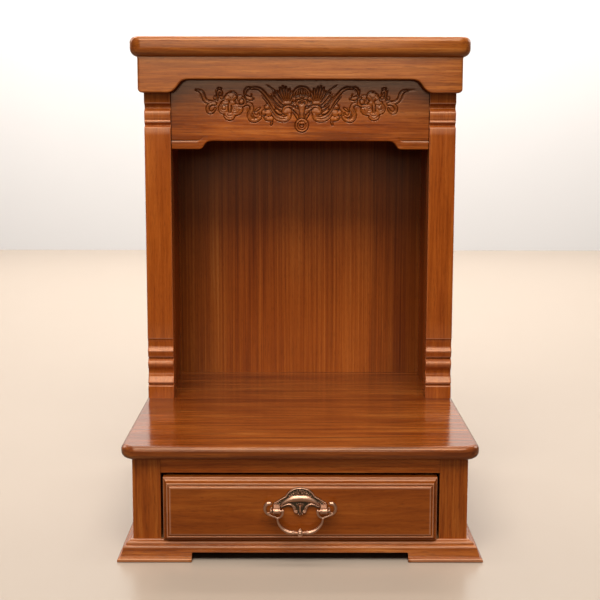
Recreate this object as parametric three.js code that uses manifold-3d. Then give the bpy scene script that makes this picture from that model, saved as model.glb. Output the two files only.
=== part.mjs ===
// Household altar cabinet: a drawer base, a platform board and an open niche
// with moulded posts, a carved apron, a crown frieze and a rounded top board.
// Millimetres, +Z up, the front faces -Y. Depths below are measured from the
// platform's front edge and moved to the object's own frame at the end.
import * as THREE from 'three';
import { mergeVertices } from 'three/addons/utils/BufferGeometryUtils.js';
import Module from 'manifold-3d';

const wasm = await Module();
wasm.setup();

// ---------------------------------------------------------------- dimensions
const DEPTH_ORIGIN = 231.75;      // depth of the frame's origin behind the platform edge

// platform
const PLATFORM_W = 480, PLATFORM_D = 480, PLATFORM_Z0 = 138.5, PLATFORM_Z1 = 157.5;
const PLATFORM_CORNER = 22, PLATFORM_NOSE = 8;

// base carcass
const BASE_W = 450, BASE_FRONT = 15, BASE_BACK = 470;
const STILE_W = 37.5, STILE_D = 20;
const REAR_STILE_W = 30, REAR_STILE_D = 20;
const BASE_SIDE_T = 12, BASE_BACK_T = 9, BASE_BACK_Y = 458;
const RAIL_Z0 = 117, RAIL_Y = 18, RAIL_D = 18;
const FLOOR_Z0 = 14.5, FLOOR_Z1 = 26.5;

// plinth moulding: projection from the carcass and height of each turn
const PLINTH_PROFILE = [
  [0, 0], [19, 0], [19.5, 0.6], [19.5, 3.4], [18.8, 4.8], [17.2, 5.6], [16, 5.8],
  [15.4, 7], [12.6, 16], [12.2, 18.4], [11.2, 19.6], [9.6, 20], [8.8, 20.8],
  [8.4, 22.6], [7.2, 24.2], [5.4, 25], [4, 25.2], [3.4, 26.5], [0, 26.5],
];
const FOOT_CUT_HALF = 145, FOOT_CUT_H = 12;

// drawer
const DRAWER_W = 367, DRAWER_Z0 = 27, DRAWER_Z1 = 113.5;
const DRAWER_FACE = 0.5, DRAWER_EDGE_BACK = 20.5;
const DRAWER_BOX_BACK = 420, DRAWER_BOX_H = 76, DRAWER_SIDE_T = 10, DRAWER_BACK_T = 10;
const DRAWER_BOTTOM_Z = 30, DRAWER_BOTTOM_T = 6;
// raised panel of the drawer front: inset from the edge, depth behind the field
const PANEL_PROFILE = [
  [0, 8.5], [1.2, 8.1], [2.6, 6.9], [3.8, 5.2], [4.6, 3.9], [5.0, 2.9], [5.2, 1.6],
  [6.6, 1.2], [7.2, 1.9], [8.2, 1.7], [9.0, 0.9], [9.5, 0],
];

// upper cabinet
const POST_W = 40, POST_OUT = 236.5, POST_Y = 268, POST_D = 30;
const UPPER_Z0 = PLATFORM_Z1, UPPER_Z1 = 682;
const NICHE_HALF = 204.5, PANEL_T = 18;
const REAR_POST_Y = 440, UPPER_BACK = 470;
const BACK_PANEL_Y = 454, BACK_PANEL_T = 9;

// post mouldings, cut across the front face: height and set-back from the face
const POST_FOOT = [
  [157.5, -1], [176.6, -1], [177.4, 0.4], [178.2, 2.6], [180.6, 2.6], [181.2, -0.6],
  [183.4, -1], [186, 0.6], [190, 3.4], [194.6, 5.4], [199.5, 5.6], [203.6, 3.2],
  [207.6, 0.4], [211.4, -0.6], [214.2, 0.2], [216.8, 2.2], [218.8, 4.6], [219.6, 6.2],
  [221.4, 6.4], [222.2, 2.4], [226, 1.2], [232, -0.4], [233, 0.2], [236.4, 2.6],
  [239.2, 3.6], [249.6, 2], [250.6, 2], [251.4, 0.4], [253, 0],
];
const POST_HEAD = [
  [576, 0], [577.6, 0.5], [578.4, 2.6], [580, 4.6], [582.6, 4.2], [584.4, 1.8],
  [585.4, 0.6], [587, 0.9], [588.4, 1.6], [592, 0.3], [597, 0], [600.4, 0.2],
  [601.8, 1], [603.4, 3.8], [606.4, 6.2], [609.6, 5.8], [612, 3.6], [613.4, 1], [615, 0],
];

// crown
const CROWN_HALF = 244, CROWN_Y = 255, CROWN_EAR_Z = 629, CROWN_MID_Z = 649;
const CROWN_EAR_END = 197.5, CROWN_MID_START = 167.5, CROWN_CORNER = 7;

// valance
const VALANCE_HALF = 196.5, VALANCE_Y = 274, VALANCE_T = 16;
const VALANCE_EAR_Z = 544.5, VALANCE_MID_Z = 557;
const VALANCE_EAR_END = 153, VALANCE_MID_START = 140.5;

// top board
const TOP_HALF = 255.5, TOP_Y0 = 244, TOP_Y1 = 474, TOP_Z0 = 682, TOP_Z1 = 712;
const TOP_CORNER = 19, TOP_NOSE = 10;

// handle
const PIVOT_X = 31.25, PIVOT_Z = 74.25, PIVOT_Y = -12.5;
const BARREL_R = 4, BARREL_L = 10, BORE_R = 2.1, PIN_R = 1.5;
const PLATE_T = 2.5, GRIP_Z = 44.5;

// ------------------------------------------------------------------- colours
const wood = (hex, rough = 0.36) => new THREE.MeshStandardMaterial({ color: hex, roughness: rough, metalness: 0 });
const bronze = () => new THREE.MeshStandardMaterial({ color: 0xb4794f, roughness: 0.38, metalness: 0.9 });

// ------------------------------------------------------------------- helpers
const toSolid = (geometry) => {
  const g = geometry.clone();
  for (const name of Object.keys(g.attributes)) if (name !== 'position') g.deleteAttribute(name);
  const m = mergeVertices(g, 1e-4);
  return new wasm.Manifold(new wasm.Mesh({
    numProp: 3,
    vertProperties: new Float32Array(m.attributes.position.array),
    triVerts: new Uint32Array(m.index.array),
  }));
};
const toGeometry = (solid) => {
  const m = solid.getMesh();
  const g = new THREE.BufferGeometry();
  g.setAttribute('position', new THREE.BufferAttribute(new Float32Array(m.vertProperties), 3));
  g.setIndex(new THREE.BufferAttribute(new Uint32Array(m.triVerts), 1));
  return g;
};
const join = (first, ...rest) => toGeometry(rest.reduce((s, g) => s.add(toSolid(g)), toSolid(first)));

// section axes (u, v) and run w for each way of extruding
const ALONG_X = new THREE.Matrix4().makeBasis(new THREE.Vector3(0, 1, 0), new THREE.Vector3(0, 0, 1), new THREE.Vector3(1, 0, 0));
const ALONG_Y = new THREE.Matrix4().makeBasis(new THREE.Vector3(1, 0, 0), new THREE.Vector3(0, 0, 1), new THREE.Vector3(0, -1, 0));

const shapeOf = (points) => new THREE.Shape(points.map(([u, v]) => new THREE.Vector2(u, v)));
const alongX = (points, x0, x1) =>
  new THREE.ExtrudeGeometry(shapeOf(points), { depth: x1 - x0, bevelEnabled: false, steps: 1 })
    .applyMatrix4(ALONG_X).translate(x0, 0, 0);
const alongY = (points, y0, y1) =>
  new THREE.ExtrudeGeometry(shapeOf(points), { depth: y1 - y0, bevelEnabled: false, steps: 1 })
    .applyMatrix4(ALONG_Y).translate(0, y1, 0);
const alongZ = (points, z0, z1) =>
  new THREE.ExtrudeGeometry(shapeOf(points), { depth: z1 - z0, bevelEnabled: false, steps: 1 }).translate(0, 0, z0);
const block = (x0, x1, y0, y1, z0, z1) =>
  new THREE.BoxGeometry(x1 - x0, y1 - y0, z1 - z0).translate((x0 + x1) / 2, (y0 + y1) / 2, (z0 + z1) / 2);

// board with rounded plan corners and a rounded nose on every edge
const roundedBoard = (x0, x1, y0, y1, z0, z1, corner, nose, steps = 4) => {
  const s = new THREE.Shape();
  s.moveTo(x0 + corner, y0);
  s.lineTo(x1 - corner, y0);
  s.absarc(x1 - corner, y0 + corner, corner, -Math.PI / 2, 0);
  s.lineTo(x1, y1 - corner);
  s.absarc(x1 - corner, y1 - corner, corner, 0, Math.PI / 2);
  s.lineTo(x0 + corner, y1);
  s.absarc(x0 + corner, y1 - corner, corner, Math.PI / 2, Math.PI);
  s.lineTo(x0, y0 + corner);
  s.absarc(x0 + corner, y0 + corner, corner, Math.PI, 1.5 * Math.PI);
  return new THREE.ExtrudeGeometry(s, {
    depth: z1 - z0 - 2 * nose, steps: 1, curveSegments: 6,
    bevelEnabled: true, bevelThickness: nose, bevelSize: nose, bevelOffset: -nose, bevelSegments: steps,
  }).translate(0, 0, z0 + nose);
};

// cyma from (x0, z0) to (x1, z1): level at both ends
const cyma = (x0, z0, x1, z1, n = 8) => Array.from({ length: n + 1 }, (_, i) => {
  const t = i / n;
  return [x0 + (x1 - x0) * t, z0 + (z1 - z0) * (0.5 - 0.5 * Math.cos(Math.PI * t))];
});
const arc = (cx, cz, r, a0, a1, n = 5) => Array.from({ length: n + 1 }, (_, i) => {
  const a = a0 + (a1 - a0) * i / n;
  return [cx + r * Math.cos(a), cz + r * Math.sin(a)];
});
const mirrored = (half) => [...half, ...half.slice().reverse().filter(([x]) => Math.abs(x) > 1e-6).map(([x, z]) => [-x, z])];

// closed round bar in a plane of constant depth, with its own radius at each point
const taperedBar = (points, radii, y, sides = 8, spans = 3) => {
  const curve = new THREE.CatmullRomCurve3(points.map(([x, z]) => new THREE.Vector3(x, y, z)), false, 'centripetal');
  const n = (points.length - 1) * spans;
  const position = [], index = [];
  for (let i = 0; i <= n; i++) {
    const t = i / n;
    const c = curve.getPoint(t), d = curve.getTangent(t);
    const k = Math.min(points.length - 2, Math.floor(t * (points.length - 1)));
    const f = t * (points.length - 1) - k;
    const r = radii[k] * (1 - f) + radii[k + 1] * f;
    for (let j = 0; j < sides; j++) {
      const a = 2 * Math.PI * j / sides;
      position.push(c.x - d.z * r * Math.cos(a), c.y + r * Math.sin(a), c.z + d.x * r * Math.cos(a));
    }
  }
  const at = (i, j) => i * sides + (j % sides);
  for (let i = 0; i < n; i++) for (let j = 0; j < sides; j++) {
    index.push(at(i, j), at(i, j + 1), at(i + 1, j), at(i, j + 1), at(i + 1, j + 1), at(i + 1, j));
  }
  for (let j = 1; j < sides - 1; j++) {
    index.push(at(0, 0), at(0, j + 1), at(0, j), at(n, 0), at(n, j), at(n, j + 1));
  }
  const g = new THREE.BufferGeometry();
  g.setAttribute('position', new THREE.Float32BufferAttribute(position, 3));
  g.setIndex(index);
  const volume = toSolid(g).volume();
  if (volume < 0) g.index.array.reverse();
  return g;
};
const ball = (x, y, z, rx, ry = rx, rz = rx, w = 8, h = 6) =>
  new THREE.SphereGeometry(1, w, h).rotateX(Math.PI / 2).scale(rx, ry, rz).translate(x, y, z);
const rod = (x0, x1, y, z, r, sides = 16) =>
  new THREE.CylinderGeometry(r, r, x1 - x0, sides).rotateZ(Math.PI / 2).translate((x0 + x1) / 2, y, z);

// --------------------------------------------------------------------- parts
const cabinet = new THREE.Group();
cabinet.name = 'altar_cabinet';
const add = (name, geometry, material) => {
  const mesh = new THREE.Mesh(geometry, material);
  mesh.name = name;
  mesh.position.set(0, -DEPTH_ORIGIN, 0);
  cabinet.add(mesh);
  return mesh;
};
const bothSides = (name, make, material) => {
  for (const [side, s] of [['left', -1], ['right', 1]]) add(`${name}_${side}`, make(s), material());
};
const span = (s, a, b) => (s > 0 ? [a, b] : [-b, -a]);

// platform
add('platform', roundedBoard(-PLATFORM_W / 2, PLATFORM_W / 2, 0, PLATFORM_D, PLATFORM_Z0, PLATFORM_Z1,
  PLATFORM_CORNER, PLATFORM_NOSE), wood(0x9c5226));

// base carcass
const baseHalf = BASE_W / 2, openHalf = baseHalf - STILE_W, rearHalf = baseHalf - REAR_STILE_W;
bothSides('base_post_front', (s) => block(...span(s, openHalf, baseHalf), BASE_FRONT, BASE_FRONT + STILE_D, 0, PLATFORM_Z0), () => wood(0xa0582a));
bothSides('base_post_rear', (s) => block(...span(s, rearHalf, baseHalf), BASE_BACK - REAR_STILE_D, BASE_BACK, 0, PLATFORM_Z0), () => wood(0x96502a));
bothSides('base_side', (s) => block(...span(s, baseHalf - BASE_SIDE_T, baseHalf), BASE_FRONT + STILE_D, BASE_BACK - REAR_STILE_D, 0, PLATFORM_Z0), () => wood(0x9c5428));
add('base_back', block(-rearHalf, rearHalf, BASE_BACK_Y, BASE_BACK_Y + BASE_BACK_T, FLOOR_Z0, PLATFORM_Z0), wood(0x8a4a28, 0.5));
add('drawer_rail', block(-openHalf, openHalf, RAIL_Y, RAIL_Y + RAIL_D, RAIL_Z0, PLATFORM_Z0), wood(0x9a5428));
const floorOut = baseHalf - BASE_SIDE_T, floorFront = BASE_FRONT + STILE_D, floorRear = BASE_BACK - REAR_STILE_D;
add('base_floor', alongZ([
  [-openHalf, BASE_FRONT], [openHalf, BASE_FRONT], [openHalf, floorFront], [floorOut, floorFront],
  [floorOut, floorRear], [rearHalf, floorRear], [rearHalf, BASE_BACK_Y], [-rearHalf, BASE_BACK_Y],
  [-rearHalf, floorRear], [-floorOut, floorRear], [-floorOut, floorFront], [-openHalf, floorFront],
], FLOOR_Z0, FLOOR_Z1), wood(0xa86a3c, 0.6));

// plinth: the front piece is mitred at both ends, the sides at their front end
const plinthRun = (length, mitreStart, mitreEnd) => {
  const g = new THREE.ExtrudeGeometry(shapeOf(PLINTH_PROFILE), { depth: length, bevelEnabled: false, steps: 1 });
  const p = g.attributes.position;
  for (let i = 0; i < p.count; i++) {
    if (p.getZ(i) < 1e-6 && mitreStart) p.setZ(i, -p.getX(i));
    else if (p.getZ(i) > length - 1e-6 && mitreEnd) p.setZ(i, length + p.getX(i));
  }
  return g;
};
// profile (projection, height) and run to (x, y, z): front faces -Y and runs +X
const FRONT_RUN = new THREE.Matrix4().makeBasis(new THREE.Vector3(0, -1, 0), new THREE.Vector3(0, 0, 1), new THREE.Vector3(-1, 0, 0));
const frontPlinth = plinthRun(BASE_W, true, true).applyMatrix4(FRONT_RUN).translate(baseHalf, BASE_FRONT, 0);
add('plinth_front', toGeometry(toSolid(frontPlinth).subtract(
  toSolid(block(-FOOT_CUT_HALF, FOOT_CUT_HALF, BASE_FRONT - 30, BASE_FRONT + 10, -10, FOOT_CUT_H)))), wood(0xa85e2c));
// left side faces -X and runs towards the front (-Y), so its mitre is at the end
const LEFT_RUN = new THREE.Matrix4().makeBasis(new THREE.Vector3(-1, 0, 0), new THREE.Vector3(0, 0, 1), new THREE.Vector3(0, 1, 0));
const RIGHT_RUN = new THREE.Matrix4().makeBasis(new THREE.Vector3(1, 0, 0), new THREE.Vector3(0, 0, 1), new THREE.Vector3(0, -1, 0));
const sideLen = BASE_BACK - BASE_FRONT;
add('plinth_left', plinthRun(sideLen, true, false).applyMatrix4(LEFT_RUN).translate(-baseHalf, BASE_FRONT, 0), wood(0xa05a2c));
add('plinth_right', plinthRun(sideLen, false, true).applyMatrix4(RIGHT_RUN).translate(baseHalf, BASE_BACK, 0), wood(0xa05a2c));

// upper cabinet
const postSection = [
  ...POST_FOOT.map(([z, d]) => [POST_Y + d, z]),
  ...POST_HEAD.map(([z, d]) => [POST_Y + d, z]),
  [POST_Y, UPPER_Z1], [POST_Y + POST_D, UPPER_Z1], [POST_Y + POST_D, UPPER_Z0],
];
bothSides('post_front', (s) => alongX(postSection, ...span(s, POST_OUT - POST_W, POST_OUT)), () => wood(0xa85c2c));
bothSides('post_rear', (s) => block(...span(s, NICHE_HALF, POST_OUT), REAR_POST_Y, UPPER_BACK, UPPER_Z0, UPPER_Z1), () => wood(0x96502a));
bothSides('side_panel', (s) => block(...span(s, NICHE_HALF, NICHE_HALF + PANEL_T), POST_Y + POST_D, REAR_POST_Y, UPPER_Z0, UPPER_Z1), () => wood(0x8c4822));
bothSides('side_rail', (s) => block(...span(s, NICHE_HALF + PANEL_T, POST_OUT), POST_Y + POST_D, REAR_POST_Y, CROWN_EAR_Z, UPPER_Z1), () => wood(0x96502a));
add('back_panel', block(-NICHE_HALF, NICHE_HALF, BACK_PANEL_Y, BACK_PANEL_Y + BACK_PANEL_T, UPPER_Z0, UPPER_Z1), wood(0x9a4e24, 0.4));

// crown frieze: level ears over the posts, a cyma up to a level centre
const crownHalf = [
  [0, UPPER_Z1], [CROWN_HALF, UPPER_Z1],
  ...arc(CROWN_HALF - CROWN_CORNER, CROWN_EAR_Z + CROWN_CORNER, CROWN_CORNER, 0, -Math.PI / 2),
  ...cyma(CROWN_EAR_END, CROWN_EAR_Z, CROWN_MID_START, CROWN_MID_Z, 10),
  [0, CROWN_MID_Z],
];
add('crown_front', alongY(mirrored(crownHalf), CROWN_Y, POST_Y), wood(0xaa6230));
bothSides('crown', (s) => alongY(s > 0
  ? [[POST_OUT, UPPER_Z1], [POST_OUT, CROWN_EAR_Z], ...arc(CROWN_HALF - CROWN_CORNER, CROWN_EAR_Z + CROWN_CORNER, CROWN_CORNER, -Math.PI / 2, 0), [CROWN_HALF, UPPER_Z1]]
  : [[-POST_OUT, UPPER_Z1], [-POST_OUT, CROWN_EAR_Z], ...arc(-CROWN_HALF + CROWN_CORNER, CROWN_EAR_Z + CROWN_CORNER, CROWN_CORNER, -Math.PI / 2, -Math.PI), [-CROWN_HALF, UPPER_Z1]],
POST_Y, UPPER_BACK), () => wood(0xa05a2c));

// valance: same cut edge, with the larger scrolls of its carving as raised ridges
const valanceHalf = [
  [0, UPPER_Z1], [VALANCE_HALF, UPPER_Z1], [VALANCE_HALF, VALANCE_EAR_Z],
  ...cyma(VALANCE_EAR_END, VALANCE_EAR_Z, VALANCE_MID_START, VALANCE_MID_Z, 8),
  [0, VALANCE_MID_Z],
];
// ridge: a run of the carving in a plane, thick in the middle and thin at its ends
const ridge = (points, width) => {
  const n = points.length;
  const radii = points.map((_, i) => width * (0.55 + 0.45 * Math.sin(Math.PI * (i + 0.5) / n)));
  return taperedBar(points, radii, VALANCE_Y + 0.2, 6, 2);
};
const scroll = (cx, cz, r0, r1, a0, sweep, width, n = 7) => ridge(
  Array.from({ length: n }, (_, i) => {
    const t = i / (n - 1), r = r0 + (r1 - r0) * t, a = (a0 + sweep * t) * Math.PI / 180;
    return [cx + r * Math.cos(a), cz + r * Math.sin(a)];
  }), width);
const CARVING_Z = 606;
const halfCarving = (s) => [
  ridge([[164, 28], [155, 26], [149, 18], [140, 9], [133, 7]].map(([x, z]) => [s * x, CARVING_Z + z]), 1.6),
  scroll(s * 142, CARVING_Z - 1, 9, 3, s > 0 ? 120 : 60, s > 0 ? -250 : 250, 1.5),
  scroll(s * 122, CARVING_Z, 6.5, 6.5, 0, 330, 1.5, 9),
  scroll(s * 105, CARVING_Z - 1, 6.5, 6.5, 0, 330, 1.5, 9),
  scroll(s * 75, CARVING_Z - 6, 13, 5, s > 0 ? 30 : 150, s > 0 ? -250 : 250, 1.9),
  ridge([[88, 22], [84, 30], [70, 33], [56, 23], [42, 4], [30, -10], [21, -15], [17, -8]].map(([x, z]) => [s * x, CARVING_Z + z]), 2.2),
  ridge([[53, 35], [42, 26], [33, 14], [28, 7]].map(([x, z]) => [s * x, CARVING_Z + z]), 1.6),
  ridge([[35, 33], [30, 22], [24, 11]].map(([x, z]) => [s * x, CARVING_Z + z]), 1.4),
  scroll(s * 22, CARVING_Z - 5, 7.5, 4, s > 0 ? 200 : -20, s > 0 ? -190 : 190, 1.4),
];
const centreCarving = [
  ridge([[-13, 19], [-9, 28], [0, 32], [9, 28], [13, 19]].map(([x, z]) => [x, CARVING_Z + z]), 1.8),
  ridge([[-5, 20], [-2, 5], [0, -18]].map(([x, z]) => [x, CARVING_Z + z]), 1.6),
  ridge([[5, 20], [2, 5], [0, -18]].map(([x, z]) => [x, CARVING_Z + z]), 1.6),
  scroll(0, CARVING_Z - 25, 8.5, 8.5, 90, 345, 1.5, 10),
];
add('valance', join(alongY(mirrored(valanceHalf), VALANCE_Y, VALANCE_Y + VALANCE_T),
  ...halfCarving(-1), ...halfCarving(1), ...centreCarving), wood(0x9e5628));

add('top_board', roundedBoard(-TOP_HALF, TOP_HALF, TOP_Y0, TOP_Y1, TOP_Z0, TOP_Z1, TOP_CORNER, TOP_NOSE), wood(0xa05a2a));

// drawer front: raised panel worked on the front face, as a stack of frames
const drawerHalf = DRAWER_W / 2;
const frameRing = (inset, y) => [
  [-drawerHalf + inset, y, DRAWER_Z0 + inset], [drawerHalf - inset, y, DRAWER_Z0 + inset],
  [drawerHalf - inset, y, DRAWER_Z1 - inset], [-drawerHalf + inset, y, DRAWER_Z1 - inset],
];
const panelStack = () => {
  const rings = [frameRing(0, DRAWER_EDGE_BACK), ...PANEL_PROFILE.map(([w, d]) => frameRing(w, DRAWER_FACE + d))];
  const position = rings.flat(2), index = [];
  for (let i = 0; i < rings.length - 1; i++) for (let j = 0; j < 4; j++) {
    const a = i * 4 + j, b = i * 4 + (j + 1) % 4;
    index.push(a, a + 4, b, b, a + 4, b + 4);
  }
  const last = (rings.length - 1) * 4;
  index.push(0, 1, 2, 0, 2, 3, last, last + 2, last + 1, last, last + 3, last + 2);
  const g = new THREE.BufferGeometry();
  g.setAttribute('position', new THREE.Float32BufferAttribute(position, 3));
  g.setIndex(index);
  if (toSolid(g).volume() < 0) g.index.array.reverse();
  return g;
};
add('drawer_front', panelStack(), wood(0xa85e2a));
bothSides('drawer_side', (s) => block(...span(s, drawerHalf - DRAWER_SIDE_T, drawerHalf), DRAWER_EDGE_BACK, DRAWER_BOX_BACK, DRAWER_Z0, DRAWER_Z0 + DRAWER_BOX_H), () => wood(0xb98a5a, 0.6));
const boxHalf = drawerHalf - DRAWER_SIDE_T;
add('drawer_back', block(-boxHalf, boxHalf, DRAWER_BOX_BACK - DRAWER_BACK_T, DRAWER_BOX_BACK, DRAWER_BOTTOM_Z, DRAWER_Z0 + DRAWER_BOX_H), wood(0xb98a5a, 0.6));
add('drawer_bottom', block(-boxHalf, boxHalf, DRAWER_EDGE_BACK, DRAWER_BOX_BACK - DRAWER_BACK_T, DRAWER_BOTTOM_Z, DRAWER_BOTTOM_Z + DRAWER_BOTTOM_T), wood(0xc09468, 0.6));

// handle plate: a crested outline, a raised crescent, and two knuckle barrels
const plateHalf = [
  [0, 103], [6, 102.1], [11.3, 100.3], [15.3, 97.4], [18.5, 93.6], [19.6, 91], [24.7, 88.2], [30, 84.8],
  [35, 81.4], [36, 79.6], [36, 75.5], [31, 74], [26, 74.6], [22, 74.8], [19.5, 76], [16, 76.6], [12.6, 76.4],
  [9.4, 75], [8.6, 72], [7.8, 68.4], [5.2, 66.9], [3, 68.4], [2.2, 70.5], [1.8, 67], [0, 64.5],
];
const crescent = [
  ...arc(0, 71, 27.5, 0.17, Math.PI - 0.17, 14),
  ...arc(0, 51, 33.5, Math.PI - 0.78, 0.78, 10),
];
const yFace = DRAWER_FACE;
const plateSolid = [
  alongY(mirrored(plateHalf), yFace - PLATE_T, yFace),
  alongY(crescent.map(([x, z]) => [x, z > 76 ? Math.min(z, 91.5) : Math.max(z, 76)]), yFace - PLATE_T - 1.5, yFace - 0.5),
];
for (const s of [-1, 1]) {
  plateSolid.push(rod(s * PIVOT_X - BARREL_L / 2, s * PIVOT_X + BARREL_L / 2, PIVOT_Y, PIVOT_Z, BARREL_R));
  plateSolid.push(alongX([
    [yFace - 1, PIVOT_Z + 2], [yFace - 1, PIVOT_Z + 7], [PIVOT_Y + 1, PIVOT_Z + 3.6],
    [PIVOT_Y, PIVOT_Z + 3], [PIVOT_Y + 3, PIVOT_Z - 0.5],
  ], s * PIVOT_X - BARREL_L / 2 + 1, s * PIVOT_X + BARREL_L / 2 - 1));
}
let plate = toSolid(join(...plateSolid));
for (const s of [-1, 1]) {
  plate = plate.subtract(toSolid(rod(s * PIVOT_X - BARREL_L, s * PIVOT_X + BARREL_L, PIVOT_Y, PIVOT_Z, BORE_R)));
}
add('handle_plate', toGeometry(plate), bronze());

// bail: grip, stems, inner hooks, outer horns and the pins that carry it
const bail = [];
for (const s of [-1, 1]) {
  const side = (pts) => pts.map(([x, z]) => [s * x, z]);
  bail.push(
    taperedBar(side([[0, GRIP_Z], [7, 44], [11, 44.3], [16.4, 45.9], [21.7, 49], [25.9, 53.2], [28.6, 57.5], [29.8, 61.5], [30.2, 64.8]]),
      [1.9, 2.5, 2.8, 2.7, 2.4, 2.0, 1.6, 1.3, 1.3], PIVOT_Y, 8, 2),
    taperedBar(side([[30.2, 64.8], [26.7, 66.1], [24.3, 68.6], [23.1, 71.7], [23, 74.6]]), [1.3, 1.5, 1.6, 1.7, 1.6], PIVOT_Y, 8, 2),
    taperedBar(side([[30.2, 64.8], [33.6, 66.4], [38.3, 68.2], [43, 70.2], [46.1, 73.9], [46.9, 78.4], [45.3, 82.6], [42.2, 85], [39.4, 85.1]]),
      [1.3, 1.2, 1.3, 1.6, 2.0, 2.3, 2.5, 2.6, 2.4], PIVOT_Y, 8, 2),
    ball(s * 39.6, PIVOT_Y, 85, 2.5),
    rod(Math.min(s * 23, s * 39.6), Math.max(s * 23, s * 39.6), PIVOT_Y, PIVOT_Z, PIN_R, 8),
    rod(Math.min(s * 37, s * 39.6), Math.max(s * 37, s * 39.6), PIVOT_Y, PIVOT_Z, 3, 10),
    ball(s * 23, PIVOT_Y, PIVOT_Z, 1.9),
    taperedBar(side([[38.4, 73.6], [41.4, 71.6], [44, 71.4]]), [1.6, 1.4, 1.3], PIVOT_Y, 8, 2),
    rod(Math.min(s * 5.2, s * 6.4), Math.max(s * 5.2, s * 6.4), PIVOT_Y, 44, 3.1, 10),
  );
}
bail.push(ball(0, PIVOT_Y, GRIP_Z, 4.6, 3.5, 4.8, 10, 7));
add('handle_bail', join(...bail), bronze());

export default cabinet;
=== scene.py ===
# Household altar cabinet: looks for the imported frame.
import bpy, bmesh, math
import numpy as np
from mathutils import Matrix, Vector


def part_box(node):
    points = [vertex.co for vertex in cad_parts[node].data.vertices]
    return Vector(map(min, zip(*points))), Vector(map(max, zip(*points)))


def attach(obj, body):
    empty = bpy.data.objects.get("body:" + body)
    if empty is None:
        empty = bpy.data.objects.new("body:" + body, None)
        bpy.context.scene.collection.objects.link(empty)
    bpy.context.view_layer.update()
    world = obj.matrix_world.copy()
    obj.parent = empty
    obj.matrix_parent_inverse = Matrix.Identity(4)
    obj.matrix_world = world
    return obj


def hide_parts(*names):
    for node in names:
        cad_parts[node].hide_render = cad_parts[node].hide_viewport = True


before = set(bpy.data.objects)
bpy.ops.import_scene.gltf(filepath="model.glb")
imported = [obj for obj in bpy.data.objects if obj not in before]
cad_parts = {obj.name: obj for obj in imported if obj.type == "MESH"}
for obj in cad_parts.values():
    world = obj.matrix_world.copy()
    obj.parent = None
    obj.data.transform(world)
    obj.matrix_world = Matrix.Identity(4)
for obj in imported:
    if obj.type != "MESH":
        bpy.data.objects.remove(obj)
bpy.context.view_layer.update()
SCENE = bpy.context.scene
SCENE.view_settings.view_transform = "Standard"

# ------------------------------------------------------------------ measures, in millimetres
# x is across, d is the depth behind the platform's front edge, z is up.
Y0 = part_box("platform")[0].y * 1000.0


def corner(node):
    lo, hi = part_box(node)
    return [lo.x * 1000, hi.x * 1000, lo.y * 1000 - Y0, hi.y * 1000 - Y0, lo.z * 1000, hi.z * 1000]


def cad(node):
    return bpy.data.objects[node]


# ------------------------------------------------------------------ mesh helpers
def signed_volume(V, F):
    total = 0.0
    for f in F:
        a = V[f[0]]
        for i in range(1, len(f) - 1):
            total += float(np.dot(a, np.cross(V[f[i]], V[f[i + 1]])))
    return total


def make(name, V, F, mat, body, replaces=(), smooth=36.0, attrs=None, check=True):
    """A closed mesh from points in millimetres (x, depth, z) and faces, placed in the frame."""
    P = np.asarray(V, dtype=np.float64)
    P = np.stack([P[:, 0], P[:, 1] + Y0, P[:, 2]], axis=1) / 1000.0
    F = [tuple(int(i) for i in f) for f in F]
    if check:
        c = P - P.mean(axis=0)
        if signed_volume(c, F) < 0:
            F = [f[::-1] for f in F]
    me = bpy.data.meshes.new(name)
    me.from_pydata(P.tolist(), [], F)
    me.update()
    ob = bpy.data.objects.new(name, me)
    SCENE.collection.objects.link(ob)
    finish_mesh(ob, mat, smooth)
    if attrs:
        for key, values in attrs.items():
            at = me.attributes.new(key, "FLOAT", "POINT")
            at.data.foreach_set("value", np.asarray(values, dtype=np.float32))
    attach(ob, body)
    if replaces:
        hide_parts(*replaces)
    return ob


def finish_mesh(ob, mat, smooth=36.0):
    me = ob.data
    me.shade_smooth() if hasattr(me, "shade_smooth") else None
    if smooth is not None:
        me.set_sharp_from_angle(angle=math.radians(smooth))
    me.materials.clear()
    me.materials.append(mat)


def rings_to_mesh(rings, closed_caps=True):
    """Rings of equal length, each a closed loop of (x, d, z), joined in turn; both ends capped."""
    n = len(rings[0])
    V = [p for r in rings for p in r]
    F = []
    for i in range(len(rings) - 1):
        for j in range(n):
            a, b = i * n + j, i * n + (j + 1) % n
            F.append((a, b, b + n, a + n))
    if closed_caps:
        F.append(tuple(range(n))[::-1])
        last = (len(rings) - 1) * n
        F.append(tuple(range(last, last + n)))
    return V, F


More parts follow.
